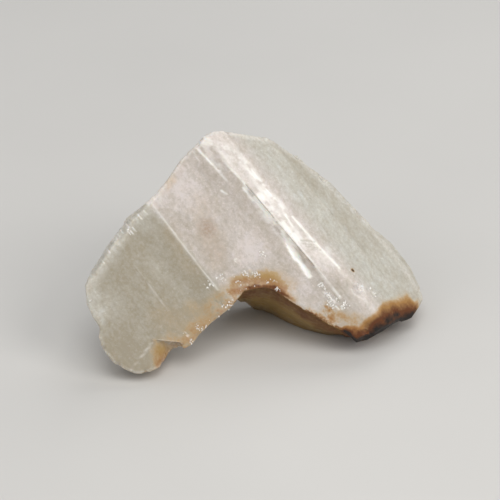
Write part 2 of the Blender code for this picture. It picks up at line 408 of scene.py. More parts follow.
@dataclass(frozen=True)
class Stroke:
    """A line, a bruise or a stain on the front face, along a path of corners (u, v)."""

    path: Path
    half_width: float
    strength: float = 1.0
    height: float = 0.0
    soft: float = 0.22

    def share(self, flat: np.ndarray, ragged: np.ndarray | float = 0.0) -> np.ndarray:
        """Gives how strongly the stroke covers each place.

        Args:
            flat: One row (u, v) for each place.
            ragged: Random distances in millimetres that break the stroke's edge.

        Returns:
            The cover, from 0 to the stroke's strength.
        """
        away = line_distance(flat, self.path) + ragged
        return self.strength * smooth_step(self.half_width + self.soft, self.half_width - self.soft, away)


@dataclass(frozen=True)
class BladeLines:
    """The raised lines, bruised chips and scratches that the blades carry, white partly from wear and partly
    as painted glints and sheen.
    """

    # White raised lines along the blade edges: partly painted glints.
    raised: tuple[Stroke, ...] = (
        Stroke(((-24.3, 40.5), (-19.0, 33.6), (-8.6, 20.1)), 0.15, 0.62, 0.02),
        Stroke(((-13.2, 53.1), (-9.8, 49.4)), 0.20, 1.0, 0.03),
        Stroke(((-9.8, 49.4), (-6.5, 45.7)), 0.14, 0.7, 0.02),
        Stroke(((-14.2, 52.4), (-12.9, 50.0)), 0.12, 0.5, 0.04),
        Stroke(((-7.7, 43.4), (-6.5, 42.6)), 0.16, 0.9, -0.06),
        Stroke(((-6.5, 49.7), (0.4, 41.9)), 0.22, 1.0, 0.04),
        Stroke(((0.4, 41.9), (7.4, 34.2), (11.5, 29.4), (16.9, 22.4), (20.5, 18.0)), 0.16, 0.7, 0.05),
        Stroke(((9.1, 37.2), (15.0, 30.6), (20.1, 24.9)), 0.26, 0.85, 0.06),
        Stroke(((7.3, 37.8), (9.1, 34.9)), 0.24, 0.9, 0.04),
        Stroke(((-27.9, 25.6), (-21.1, 16.3)), 0.14, 0.30, 0.03),
        Stroke(((-28.9, 1.2), (-23.9, 7.6)), 0.14, 0.35, 0.03),
    )
    # White bruised chips, sunk a little: partly painted glints.
    bruises_and_glints: tuple[Stroke, ...] = (
        Stroke(((-2.2, 43.8), (-0.1, 41.1)), 0.42, 0.9, -0.12),
        Stroke(((0.2, 41.6), (1.6, 39.8), (4.0, 37.0)), 0.52, 1.0, -0.14),
        Stroke(((5.4, 35.4), (6.4, 34.4)), 0.34, 0.5, -0.08),
        Stroke(((6.8, 33.7), (7.6, 31.1)), 0.42, 0.9, -0.10),
        Stroke(((7.9, 31.4), (10.2, 27.4)), 0.80, 1.0, -0.16),
        Stroke(((10.2, 27.4), (13.2, 23.2)), 0.55, 1.0, -0.14),
    )
    # Soft white veiling over the band and the top blade: painted sheen.
    sheen_veils: tuple[Stroke, ...] = (
        Stroke(((-12.8, 55.0), (-6.5, 53.0), (-1.7, 49.3), (2.4, 43.4), (6.6, 39.3)), 0.9, 0.75, 0.0, 0.9),
        Stroke(((1.8, 44.6), (6.4, 39.5)), 0.7, 0.6, 0.0, 0.6),
        Stroke(((10.2, 33.1), (16.8, 28.9)), 1.5, 0.55, 0.0, 1.3),
        Stroke(((-12.0, 54.6), (-7.5, 49.5)), 1.9, 0.5, 0.0, 1.2),
        Stroke(((1.6, 41.4), (3.6, 38.2), (9.5, 31.6)), 1.7, 0.85, 0.0, 0.9),
        Stroke(((-1.4, 49.2), (2.6, 44.2), (7.0, 38.9)), 0.5, 0.85, 0.0, 0.4),
    )
    hatch: tuple[Stroke, ...] = (
        Stroke(((10.9, 31.7), (14.3, 31.3)), 0.14, 1.0, -0.05, 0.16),
        Stroke(((11.3, 30.9), (14.4, 30.5)), 0.14, 1.0, -0.05, 0.16),
        Stroke(((12.4, 30.2), (15.1, 29.9)), 0.14, 1.0, -0.05, 0.16),
        Stroke(((13.2, 29.5), (15.8, 29.3)), 0.14, 1.0, -0.05, 0.16),
    )
    scratch_spots: Path = (
        (-33.4, 32.2), (-32.9, 32.9), (-32.3, 33.5), (-31.6, 34.3), (-30.2, 35.5), (-29.1, 34.0),
        (-28.6, 34.8), (-34.6, 29.6), (-35.9, 27.2), (-27.2, 37.6), (-25.9, 38.6),
    )
    scratch_step: tuple[float, float] = (0.75, -0.95)
    scratch_half_width: float = 0.12
    scratch_strength: float = 0.8
    scratch_height: float = -0.07
    scratch_soft: float = 0.16
    line_break: float = 0.12
    bruise_break: float = 0.22
    veil_break: Ramp = (-0.5, 0.35)

    def scratches(self) -> list[Stroke]:
        """Gives the short scratches of the chipped upper left edge.

        Returns:
            A stroke for each scratch.
        """
        right, up = self.scratch_step
        looks = self.scratch_half_width, self.scratch_strength, self.scratch_height, self.scratch_soft
        return [Stroke(((u, v), (u + right, v + up)), *looks) for u, v in self.scratch_spots]

    def bright(self, flat: np.ndarray, patchy: np.ndarray) -> np.ndarray:
        """Gives how white the lines make each place: white wear, and painted glints and sheen.

        Args:
            flat: One row (u, v) for each place.
            patchy: Broken values around 0 that eat into the soft sheen veiling.

        Returns:
            The share of white, from 0 to 1.
        """
        thin = (*self.raised, *self.scratches())
        crisp = [stroke.share(flat, self.line_break * patchy) for stroke in thin]
        crisp += [stroke.share(flat, self.bruise_break * patchy) for stroke in self.bruises_and_glints]
        soft = [stroke.share(flat) * smooth_step(*self.veil_break, patchy) for stroke in self.sheen_veils]
        return np.maximum.reduce(crisp + soft)

    def rise(self, flat: np.ndarray) -> np.ndarray:
        """Gives how far the lines lift or sink each place.

        Args:
            flat: One row (u, v) for each place.

        Returns:
            The lift in millimetres.
        """
        strokes = (*self.raised, *self.bruises_and_glints, *self.hatch, *self.scratches())
        return sum(stroke.height / stroke.strength * stroke.share(flat) for stroke in strokes)


class Edge(Enum):
    """Named stretches of the stone's edge, as corners (u, v)."""

    ARCH_CROWN = ((6.5, 18.6), (4.4, 19.9), (2.2, 20.4), (-2.2, 19.6))
    ARCH_LIP = ((21.3, 10.0), (17.5, 11.7), (12.0, 15.0), *ARCH_CROWN)
    LEG_INSIDE = (
        (-2.2, 19.6), (-5.4, 15.8), (-9.8, 12.3), (-13.0, 9.1), (-14.4, 7.2), (-16.5, 5.9), (-18.4, 6.4))
    FOOT = (
        (-19.7, 5.3), (-20.5, 3.7), (-22.2, 1.5), (-25.5, 0.2), (-27.8, 0.2), (-30.2, 1.1), (-32.9, 2.7),
        (-35.6, 6.0), (-36.5, 9.1))
    LEG_OUTSIDE = (
        (-38.0, 13.8), (-39.3, 16.7), (-39.7, 21.1), (-38.4, 24.3), (-34.7, 30.5), (-30.0, 37.0),
        (-27.0, 39.2), (-23.2, 42.6))
    RIGHT_END = (
        (21.3, 10.0), (24.2, 7.2), (27.0, 7.8), (30.2, 9.6), (34.2, 11.6), (38.0, 13.1), (40.0, 15.8),
        (41.0, 17.4))
    RIGHT_RIM = (
        (12.2, 50.1), (17.0, 45.6), (22.0, 41.0), (27.0, 36.0), (32.0, 30.4), (37.0, 24.0), (41.0, 17.4))
    TOP = (
        (-17.3, 50.8), (-14.0, 53.8), (-11.9, 56.2), (-9.7, 57.4), (-4.3, 57.1), (4.7, 55.4), (12.2, 50.1))

    def away(self, flat: np.ndarray) -> np.ndarray:
        """Measures the distance of places (u, v) to this stretch, in millimetres."""
        return line_distance(flat, self.value)

    def near(self, flat: np.ndarray, ramp: Ramp) -> np.ndarray:
        """Gives how near places lie to this stretch.

        Args:
            flat: One row (u, v) for each place.
            ramp: The distances at which the result is 0 and 1.

        Returns:
            The nearness, from 0 to 1.
        """
        return smooth_step(*ramp, self.away(flat))


@dataclass
class Surface:
    """The stone's vertices in the forms that its relief and its stains read."""

    stance: Stance
    face: np.ndarray
    front: np.ndarray
    keel: np.ndarray

    def __post_init__(self) -> None:
        """Works out the flat places, blade coordinates and depth, and what lies beside the front."""
        self.flat = self.face[:, :2]
        self.u, self.v = self.flat.T
        self.blade = self.stance.blades(self.face)
        self.depth = self.stance.depth(self.face)
        self.side = 1.0 - self.front
        self.flank = self.side * (1.0 - self.keel)

    def under(self, spots: tuple[Spot, ...]) -> np.ndarray:
        """Gives how strongly the strongest of some spots covers each place."""
        return np.maximum.reduce([spot.share(self.face, self.stance) for spot in spots])

    def along(self, strokes: tuple[Stroke, ...], ragged: np.ndarray | float = 0.0) -> np.ndarray:
        """Gives how strongly the strongest of some strokes covers each place.

        Args:
            strokes: The strokes.
            ragged: Random distances in millimetres that break their edges.

        Returns:
            The cover, from 0 to 1.
        """
        return np.maximum.reduce([stroke.share(self.flat, ragged) for stroke in strokes])


@dataclass
class Relief:
    """The fine shape of the stone's surface: layers, fractures, grains and worn edges."""

    stance: Stance
    lines: BladeLines
    seed: int = 7
    layers: int = 26
    layer_height: float = 0.035
    layer_share: Ramp = (0.35, 1.0)
    layer_s: Ramp = (-30.0, 46.0)
    layer_t: Ramp = (-62.0, 6.0)
    layer_width: Ramp = (0.4, 2.4)
    layer_length: Ramp = (8.0, 30.0)
    named: tuple[Ledge, ...] = (
        Ledge(34.8, 35.3, -26.0, -2.0, -0.04, edge=0.14, fade=5.0),
        Ledge(38.2, 38.8, -34.0, 6.0, 0.04, edge=0.14, fade=5.0),
        Ledge(42.5, 43.1, -30.0, 4.0, 0.04, edge=0.14, fade=5.0),
        Ledge(-5.2, -4.6, -36.0, -26.0, 0.04, edge=0.14, fade=2.0),
        Ledge(-21.5, -20.9, -30.0, -16.0, 0.04, edge=0.14, fade=3.0),
    )
    bevels: tuple[Bevel, ...] = (
        Bevel((-13.0, -0.11), (-4.75, 0.36)),
        Bevel((0.0, 0.33), (7.25, 1.32)),
        Bevel((26.1, 1.14), (27.4, 2.1)),
        Bevel((22.5, 1.16), (27.4, 2.1), t_to=-29.0, fade=8.0),
        Bevel((20.5, 1.18), (27.4, 2.1), t_from=-13.0, fade=9.0),
        Bevel((21.0, 1.18), (24.5, 1.95), t_to=-38.0, fade=4.0),
    )
    carried_depth: Ramp = (5.0, 1.0)
    inner_depth: Ramp = (1.4, 1.1)
    inner_edge: Ramp = (0.6, 1.2)
    worn_crest: tuple[float, float, float] = (20.5, 27.4, 33.0)
    worn_height: float = 0.62
    worn_ends: Ramp = (-11.0, -2.0)
    worn_depth: Ramp = (4.0, 1.0)
    band_flat: float = 0.18
    band_start: float = 27.3
    band_width: float = 4.2
    band_ends: Ramp = (-14.0, -3.0)
    band_fade: Ramp = (37.5, 31.5)
    sway: tuple[Ripple, Ripple] = (Ripple(0.012, (1.3, 0.07, 0.1)), Ripple(0.035, (0.16, 0.05, 0.05)))
    grain: tuple[Ripple, Ripple] = (Ripple(1.0, (1.35, 0.9, 1.1)), Ripple(0.6, (2.4, 1.7, 2.1)))
    rough_height: float = 0.13
    rough_steps: float = 2.2
    rough_sunk: float = 0.35
    rough_hides: float = 0.8
    plate_seed: int = 17
    plate_heights: tuple[float, float, float] = (0.42, 0.20, 0.07)
    plate_sizes: tuple[float, float, float] = (6.5, 2.6, 0.9)
    plate_crook: Ripple = Ripple(0.12, 0.5)
    plate_sunk: float = 0.25
    plate_grain: float = 0.03
    plate_depth: Ramp = (0.8, 4.5)
    plate_rim_share: float = 0.18
    keel_waves: tuple[Ripple, Ripple] = (Ripple(0.05, (0.5, 1.6, 0.9)), Ripple(0.12, 0.22))
    grainy_base: float = 0.5
    grainy_drift: Ripple = Ripple(0.9, 0.28)
    grainy_edges: tuple[tuple[Edge, Ramp, float], ...] = (
        (Edge.ARCH_LIP, (4.0, 0.6), 1.0), (Edge.LEG_INSIDE, (4.0, 0.6), 0.8), (Edge.FOOT, (1.2, 0.3), 0.3),
        (Edge.LEG_OUTSIDE, (2.6, 1.2), 0.45), (Edge.RIGHT_END, (4.0, 1.5), 0.35),
    )
    grainy_spots: tuple[Spot, ...] = (
        Spot(16.5, 15.8, 2.6, 3.6), Spot(24.5, 19.6, 1.5, 2.6, 0.7), Spot(-0.5, 23.5, 3.0, 4.0, 0.8),
        Spot(-8.0, 15.5, 2.4, 4.5, 0.7), Spot(-1.0, 43.2, 0.9, 5.0, 0.9), Spot(9.0, 31.5, 1.3, 4.4, 0.9),
    )
    crumb_drift: tuple[Ripple, Ripple] = (Ripple(1.0, 0.55), Ripple(0.5, 1.3))
    crumb_patches: Ramp = (-0.1, 0.6)
    crumb_edges: tuple[tuple[Edge, Ramp, float], ...] = (
        (Edge.LEG_INSIDE, (2.8, 0.4), 0.35), (Edge.ARCH_CROWN, (2.4, 0.6), 0.35),
    )
    crumb_spots: tuple[Spot, ...] = (
        Spot(17.4, 18.4, 1.3, 2.4), Spot(18.6, 16.9, 2.0, 2.4), Spot(20.8, 15.9, 1.8, 3.2),
        Spot(25.6, 20.0, 1.2, 2.0, 0.8), Spot(28.0, 19.0, 1.0, 1.4, 0.7), Spot(16.0, 21.0, 1.2, 1.4, 0.5),
        Spot(-1.6, 23.2, 1.3, 1.6, 0.8), Spot(-4.0, 26.7, 1.3, 1.2, 1.0), Spot(1.9, 28.3, 0.8, 0.8, 0.8),
        Spot(-3.6, 22.4, 1.6, 1.6, 0.8), Spot(0.6, 23.6, 1.4, 1.4, 0.6), Spot(5.2, 21.4, 1.0, 1.6, 0.6),
        Spot(-7.6, 22.6, 1.4, 2.0, 0.35), Spot(-10.4, 20.6, 1.0, 2.0, 0.6), Spot(-16.0, 9.4, 1.4, 1.6, 0.6),
        Spot(-29.4, 33.6, 1.0, 1.3, 0.28), Spot(-38.6, 17.2, 0.8, 0.8, 0.6),
    )

    def __post_init__(self) -> None:
        """Makes the seeded lattices, the cleavage plates and the small random layers."""
        self.coarse = Lattice(self.seed)
        self.fine = Lattice(self.seed + 1)
        self.plates = [Plates(size, self.plate_seed + i) for i, size in enumerate(self.plate_sizes)]
        dice = np.random.default_rng(self.seed + 2)
        self.small = []
        for _ in range(self.layers):
            s_from, t_from = dice.uniform(*self.layer_s), dice.uniform(*self.layer_t)
            height = dice.choice((-1.0, 1.0)) * self.layer_height * dice.uniform(*self.layer_share)
            ends = s_from + dice.uniform(*self.layer_width), t_from + dice.uniform(*self.layer_length)
            self.small.append(Ledge(s_from, ends[0], t_from, ends[1], height))

    def waves(self, places: np.ndarray, ripples: tuple[Ripple, Ripple]) -> np.ndarray:
        """Adds up waves of the fine and of the coarse lattice.

        Args:
            places: One row of three coordinates for each place.
            ripples: The fine waves and the coarse ones.

        Returns:
            Their sum at each place.
        """
        fine, coarse = ripples
        return fine.on(self.fine, places) + coarse.on(self.coarse, places)

    @staticmethod
    def beside(stone: Surface, edges: tuple[tuple[Edge, Ramp, float], ...]) -> np.ndarray:
        """Gives how strongly the nearest of some edges tells on each place.

        Args:
            stone: The stone's vertices.
            edges: Each edge with its ramp of distances and its strength.

        Returns:
            The strongest share, from 0 to 1.
        """
        return np.maximum.reduce([share * edge.near(stone.flat, ramp) for edge, ramp, share in edges])

    def grainy(self, stone: Surface) -> np.ndarray:
        """Gives how broken and grainy the surface is, mostly along the lower edges.

        Args:
            stone: The stone's vertices.

        Returns:
            The share of broken surface, from 0 to 1.
        """
        patchy = self.grainy_base + self.grainy_drift.on(self.coarse, stone.face)
        edges = self.beside(stone, self.grainy_edges) * patchy
        return np.clip(np.maximum(edges, stone.under(self.grainy_spots)), 0.0, 1.0) * stone.front

    def crumbly(self, stone: Surface) -> np.ndarray:
        """Gives how thickly broken grains lie on the surface.

        Args:
            stone: The stone's vertices.

        Returns:
            The share, from 0 to 1.
        """
        patchy = smooth_step(*self.crumb_patches, self.waves(stone.face, self.crumb_drift))
        thick = np.maximum(stone.under(self.crumb_spots), self.beside(stone, self.crumb_edges))
        return stone.front * patchy * np.clip(thick, 0.0, 1.0)

    def middle_plates(self, stone: Surface) -> np.ndarray:
        """Gives the height, from -1 to 1, of the middle-sized plate that each place is on."""
        return self.plates[1].height(self.stance.split(stone.face))

    def slope(self, blade: np.ndarray) -> np.ndarray:
        """Gives how far places in blade coordinates lie under the highest bevel."""
        return np.maximum.reduce([bevel.rise(blade) for bevel in self.bevels])

    def fill(self, face: np.ndarray) -> np.ndarray:
        """Turns the sharp risers between the blades into the worn slopes that they are.

        Args:
            face: One row (u, v, w) for each place.

        Returns:
            How far each place is moved along w, in millimetres.
        """
        blade = self.stance.blades(face)
        depth = self.stance.depth(face)
        edge = np.minimum.reduce([edge.away(face[:, :2]) for edge in Edge])
        inner = smooth_step(*self.inner_depth, depth) * smooth_step(*self.inner_edge, edge)
        on_front = blade + depth[:, None] * (0.0, 0.0, 1.0)
        carried = self.slope(on_front) * smooth_step(*self.carried_depth, depth)
        risen = carried + inner * (self.slope(blade) - carried)
        crest = np.interp(blade[:, 0], self.worn_crest, (0.0, 1.0, 0.0))
        crest *= smooth_step(*self.worn_ends, blade[:, 1]) * smooth_step(*self.worn_depth, depth)
        return risen - self.worn_height * crest

    def lift(self, stone: Surface) -> np.ndarray:
        """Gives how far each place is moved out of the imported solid's surface.

        Args:
            stone: The stone's vertices.

        Returns:
            The move along the surface's normal, in millimetres.
        """
        grain = self.waves(stone.blade, self.grain)
        aside = (1.0 - stone.keel) * self.flank_lift(stone, grain)
        aside += stone.keel * self.waves(stone.face, self.keel_waves)
        return stone.front * self.front_lift(stone, grain) + stone.side * aside

    def front_lift(self, stone: Surface, grain: np.ndarray) -> np.ndarray:
        """Gives the lift on the front face.

        Args:
            stone: The stone's vertices.
            grain: The broken grain's waves.

        Returns:
            The lift in millimetres.
        """
        layers = sum(ledge.rise(stone.blade) for ledge in (*self.named, *self.small))
        layers += self.lines.rise(stone.flat)
        s, t, _ = stone.blade.T
        band = self.band_flat * np.clip(s - self.band_start, 0.0, self.band_width)
        layers += band * smooth_step(*self.band_ends, t) * smooth_step(*self.band_fade, s)
        grainy = self.grainy(stone)
        stepped = np.round(grain * self.rough_steps) / self.rough_steps - self.rough_sunk
        rough = self.rough_height * grainy * stepped
        return layers * (1.0 - self.rough_hides * grainy) + self.waves(stone.blade, self.sway) + rough

    def flank_lift(self, stone: Surface, grain: np.ndarray) -> np.ndarray:
        """Gives the lift on the sides and the back, where cleavage plates broke off.

        Args:
            stone: The stone's vertices.
            grain: The broken grain's waves.

        Returns:
            The lift in millimetres.
        """
        split = self.stance.split(stone.face) + self.plate_crook.on(self.fine, stone.face)[:, None]
        broken = sum(high * plates.height(split) for high, plates in zip(self.plate_heights, self.plates))
        behind = smooth_step(*self.plate_depth, stone.depth)
        share = self.plate_rim_share + (1.0 - self.plate_rim_share) * behind
        return share * (broken - self.plate_sunk + self.plate_grain * grain)


@dataclass
class Drift:
    """Random shifts that break the edges of the stains: slow waves, quick ones, and both together."""

    slow: np.ndarray
    quick: np.ndarray
    slow_share: float = 0.9
    quick_share: float = 0.55

    def __post_init__(self) -> None:
        """Adds both up, in millimetres."""
        self.ragged = self.slow_share * self.slow + self.quick_share * self.quick


@dataclass
class Stains:
    """Where the stone is stained, milky, frosted or blushed, and where light and shade are painted on it."""

    relief: Relief
    slow: Ripple = Ripple(1.0, 0.22)
    quick: Ripple = Ripple(1.0, 0.75)
    stained: tuple[Stroke, ...] = (
        Stroke(((-4.2, 21.4), (-0.6, 22.6), (3.2, 22.6), (6.2, 20.8)), 1.2, 1.0, soft=1.7),
        Stroke(((-5.5, 19.0), (-2.2, 20.2), (4.4, 20.6), (9.5, 17.4)), 0.8, 1.0, soft=1.2),
        Stroke(((9.5, 17.0), (14.8, 13.4), (19.0, 11.0)), 0.4, 0.9, soft=0.9),
        Stroke(((-6.2, 20.2), (-8.4, 18.2), (-11.5, 14.8)), 1.2, 0.36, soft=1.8),
        Stroke(((6.0, 22.6), (9.0, 20.4)), 1.2, 0.30, soft=1.6),
        Stroke(((17.3, 15.8), (18.3, 14.2), (18.5, 12.6)), 0.9, 0.60, soft=1.3),
        Stroke(((20.2, 13.8), (23.4, 12.6)), 1.6, 0.46, soft=1.8),
        Stroke(((-21.7, 5.0), (-21.2, 2.8)), 2.2, 0.95, soft=1.8),
        Stroke(((-15.0, 16.0), (-11.0, 14.0)), 1.0, 0.22, soft=2.4),
        Stroke(((-22.0, 42.8), (-19.8, 45.6)), 0.7, 0.20, soft=1.1),
        Stroke(((-22.0, 14.5), (-17.0, 11.0)), 2.0, 0.15, soft=4.5),
        Stroke(((-20.0, 33.5), (-14.0, 24.5)), 1.6, 0.10, soft=3.2),
        Stroke(((-12.5, 40.0), (-9.0, 27.0)), 2.6, 0.09, soft=2.4),
    )
    rusty: tuple[Stroke, ...] = (
        Stroke(((-1.0, 20.4), (4.4, 20.4), (8.5, 18.0)), 0.5, 0.8, soft=0.6),
        Stroke(((9.5, 17.2), (14.8, 13.4), (20.5, 10.6)), 0.24, 0.8, soft=0.4),
    )
    dark: tuple[Stroke, ...] = (
        Stroke(((31.6, 12.2), (33.2, 13.3), (34.6, 13.8)), 0.5, 1.0, soft=0.9),
        Stroke(((20.2, 9.9), (22.4, 8.6), (24.4, 7.4)), 0.5, 0.55, soft=0.7),
        Stroke(((23.15, 24.4), (23.25, 24.3)), 0.16, 0.8, soft=0.12),
    )
    end_reach: Path = (
        (21.0, 1.2), (23.3, 2.6), (26.3, 4.5), (28.8, 5.0), (30.3, 6.4), (33.6, 6.2), (36.6, 4.9),
        (37.6, 3.6), (38.6, 2.0), (40.0, 1.0))
    clouds: tuple[Spot, ...] = (
        Spot(-16.5, 44.5, 7.0, 11.0, 0.30), Spot(-34.0, 16.5, 4.5, 7.0, 0.20),
        Spot(-1.0, 30.0, 6.0, 8.0, 0.44), Spot(-16.5, 20.0, 4.0, 8.0, 0.18),
        Spot(-22.8, 25.0, 5.0, 8.0, 0.20), Spot(-25.0, 35.0, 4.0, 5.0, 0.16),
        Spot(11.0, 21.0, 4.0, 4.0, 0.22), Spot(-4.5, 37.6, 3.0, 6.0, 0.12),
        Spot(16.0, 26.0, 4.5, 9.0, 0.12), Spot(25.0, 20.5, 3.0, 4.0, 0.16), Spot(-33.0, 29.0, 3.0, 5.0, 0.06),
        Spot(9.0, 43.0, 3.0, 9.0, 0.10), Spot(31.0, 26.0, 3.0, 8.0, 0.08),
    )
    clear_patches: tuple[Spot, ...] = (
        Spot(-27.0, 3.6, 5.0, 5.5, 0.34), Spot(-32.0, 7.0, 4.0, 6.0, 0.10), Spot(-20.0, 33.0, 3.0, 5.0, 0.10),
        Spot(-14.0, 22.0, 3.0, 6.0, 0.06), Spot(-0.5, 38.0, 2.6, 9.0, 0.10),
        Spot(3.0, 33.0, 2.0, 5.0, 0.10), Spot(-8.0, 44.0, 1.4, 5.0, 0.08), Spot(24.0, 33.0, 3.0, 9.0, 0.08),
        Spot(12.0, 47.0, 4.0, 6.0, 0.10), Spot(20.6, 19.6, 3.0, 7.0, 0.22), Spot(22.0, 13.4, 3.0, 4.0, 0.30),
    )
    end_ragged: float = 0.4
    end_depth: Ramp = (14.0, 6.0)
    end_fade: Ramp = (40.6, 38.0)
    end_stain: Ramp = (1.10, 0.70)
    end_rust: Ramp = (1.0, 0.24)
    end_rust_ragged: float = 0.12
    end_core: Ramp = (0.44, 0.10)
    end_core_depth: Ramp = (8.0, 3.0)
    leg_stain: float = 0.40
    leg_reach: Ramp = (5.5, 0.5)
    leg_drift: tuple[float, float] = (1.2, 0.8)
    flank_stain: tuple[float, float] = (0.16, 0.42)
    flank_patchy: tuple[float, float] = (0.7, 0.5)
    flank_low: Ramp = (26.0, 8.0)
    flank_drift: float = 3.0
    flank_recess: float = 0.13
    recess_patches: Ramp = (-0.1, 0.5)
    flank_rust: float = 0.7
    flank_rust_u: Ramp = (26.0, 34.0)
    flank_rust_v: Ramp = (20.0, 13.0)
    # The arch's underside is stained dark: partly its own olive stain, partly painted shade of the underside.
    keel_stain_and_shade: tuple[float, float] = (0.95, 0.10)
    keel_pale: float = 0.38
    keel_pale_from: Ramp = (3.0, 7.0)
    keel_top: Ramp = (3.2, 1.0)
    keel_top_ragged: float = 0.5
    # The strip close under the arch's lip is made rusty and near black: rust, and painted shade under the
    # overhanging lip.
    keel_rust_and_shade: float = 0.66
    keel_core_and_shade: float = 0.4
    keel_core_reach: Ramp = (1.0, 0.2)
    rust_ragged: float = 0.6
    core_ragged: float = 0.5
    halo: float = 0.9
    milk_base: float = 0.08
    # The step at the band's left edge, from 26.9 to 27.5, lightens the band partly as painted sheen.
    milk_steps: tuple[tuple[float, float, float], ...] = (
        (5.6, 7.6, 0.48), (26.9, 27.5, 0.16), (31.0, 34.5, -0.20), (38.0, 39.4, -0.14))
    # The band's lower end made less milky: painted shade where the band's sheen fades.
    band_end_painted_fade: float = 0.14
    band_top: tuple[float, float, float] = (26.0, 32.0, 1.0)
    band_top_t: Ramp = (-16.0, -6.0)
    # The upper left strip made milkier: painted light where it catches light.
    left_strip_painted_light: float = 0.24
    left_strip_painted_light_reach: Ramp = (4.6, 2.0)
    milk_waves: Ripple = Ripple(0.06, (0.30, 0.12, 0.15))
    milk_drift: tuple[float, float] = (0.05, 0.03)
    milk_side: tuple[float, float] = (0.46, 0.14)
    milk_plates: float = 0.14
    blushes: tuple[Spot, ...] = (Spot(-11.0, 34.4, 3.4, 3.6, 1.0), Spot(-9.0, 29.5, 4.0, 7.0, 0.22))
    frost_grainy: float = 0.35
    # Painted rim light: the upper left strip and the rims of the edges below are made pale in the frosting
    # colour, where light catches them.
    left_strip_rim_light: float = 0.30
    left_strip_rim_light_reach: Ramp = (3.6, 1.2)
    frost_band: float = 0.30
    frost_band_s: tuple[float, float, float] = (27.2, 31.8, 0.8)
    frost_waves: Ripple = Ripple(1.0, (0.5, 0.16, 0.3))
    frost_patches: Ramp = (0.05, 0.6)
    painted_rim_light_edges: tuple[Edge, ...] = (Edge.TOP, Edge.LEG_OUTSIDE, Edge.FOOT, Edge.RIGHT_RIM)
    painted_rim_light: float = 0.55
    painted_rim_light_reach: Ramp = (1.0, 0.2)
    frost_side: float = 0.12
    frost_under_stain: float = 2.2
    frost_stained_u: Ramp = (11.0, 15.0)
    rust_hides: float = 0.8
    line_waves: tuple[Ripple, Ripple] = (Ripple(1.0, (1.1, 0.45, 0.4)), Ripple(0.6, 1.9))
    shard_waves: tuple[Ripple, Ripple] = (Ripple(1.0, 2.1), Ripple(0.6, 3.3))
    shard_patches: Ramp = (0.1, 0.45)
    shard_spots: Ramp = (0.15, 0.6)
    shard_painted_glint: float = 0.85
    # The hatch lines are made less white and less milky, so they show darker.
    hatch_dulls: float = 0.9
    hatch_darkens: float = 0.5
    golden: Stroke = Stroke(((-3.5, 23.6), (3.0, 24.0), (7.5, 22.6)), 0.9, 0.9, soft=1.6)
    golden_foot: Spot = Spot(-22.2, 6.4, 4.0, 4.0, 1.0)
    golden_end: float = 0.32
    golden_end_u: Ramp = (24.0, 28.0)
    cool_leg: Ramp = (8.0, 5.5)
    cool_right: Ramp = (31.0, 36.0)

    def marks(self, stone: Surface) -> dict[Mark, np.ndarray]:
        """Works out every mark for every place of the surface.

        Args:
            stone: The stone's vertices.

        Returns:
            The share of each mark, from 0 to 1, for each place.
        """
        relief, s = self.relief, stone.blade[:, 0]
        drift = Drift(self.slow.on(relief.coarse, stone.face), self.quick.on(relief.fine, stone.face))
        rust, core = self.rust(stone, drift), self.core(stone, drift)
        burnt = np.clip(rust + core, 0.0, 1.0)
        stain = np.maximum(self.stain(stone, drift), self.halo * burnt)
        hatch = stone.along(relief.lines.hatch)
        grainy = relief.grainy(stone)
        frost = self.frost(stone, drift, grainy, np.maximum(stain, rust))
        cool = np.maximum(smooth_step(*self.cool_leg, s), smooth_step(*self.cool_right, s))
        found = {
            Mark.STAIN: stain,
            Mark.RUST: rust,
            Mark.CORE: core,
            Mark.MILK: self.milk(stone, drift) - self.hatch_darkens * stone.front * hatch,
            Mark.BLUSH: stone.under(self.blushes),
            Mark.FROST: frost * (1.0 - self.rust_hides * rust),
            Mark.BRIGHT: self.bright(stone) * (1.0 - self.hatch_dulls * hatch),
            Mark.COOL: np.maximum(cool, stone.keel),
            Mark.GOLD: np.maximum.reduce((
                self.golden.share(stone.flat, drift.ragged), stone.under((self.golden_foot,)),
                self.golden_end * smooth_step(*self.golden_end_u, stone.u))),
            Mark.OLIVE: stone.keel,
            Mark.SIDE: stone.flank,
            Mark.SPECK: grainy * (1.0 - self.rust_hides * burnt),
        }
        return {mark: np.clip(share, 0.0, 1.0) for mark, share in found.items()}

    def end(self, stone: Surface, drift: Drift) -> tuple[np.ndarray, np.ndarray]:
        """Tells how far the stain of the right end reaches over each place.

        Args:
            stone: The stone's vertices.
            drift: The random shifts.

        Returns:
            The distance from the end's lower edge as a share of the stain's reach, and how far each
            place belongs to the end.
        """
        away = Edge.RIGHT_END.away(stone.flat) + self.end_ragged * drift.ragged
        outer = smooth_step(*self.end_depth, stone.depth) * smooth_step(*self.end_fade, stone.u)
        return away / np.interp(stone.u, *zip(*self.end_reach)), outer

    def keel_rim(self, stone: Surface, drift: Drift) -> np.ndarray:
        """Gives the strip of the arch's underside that lies close under its lip."""
        lip = Edge.ARCH_LIP.away(stone.flat) + self.keel_top_ragged * drift.quick
        return stone.keel * smooth_step(*self.keel_top, lip)

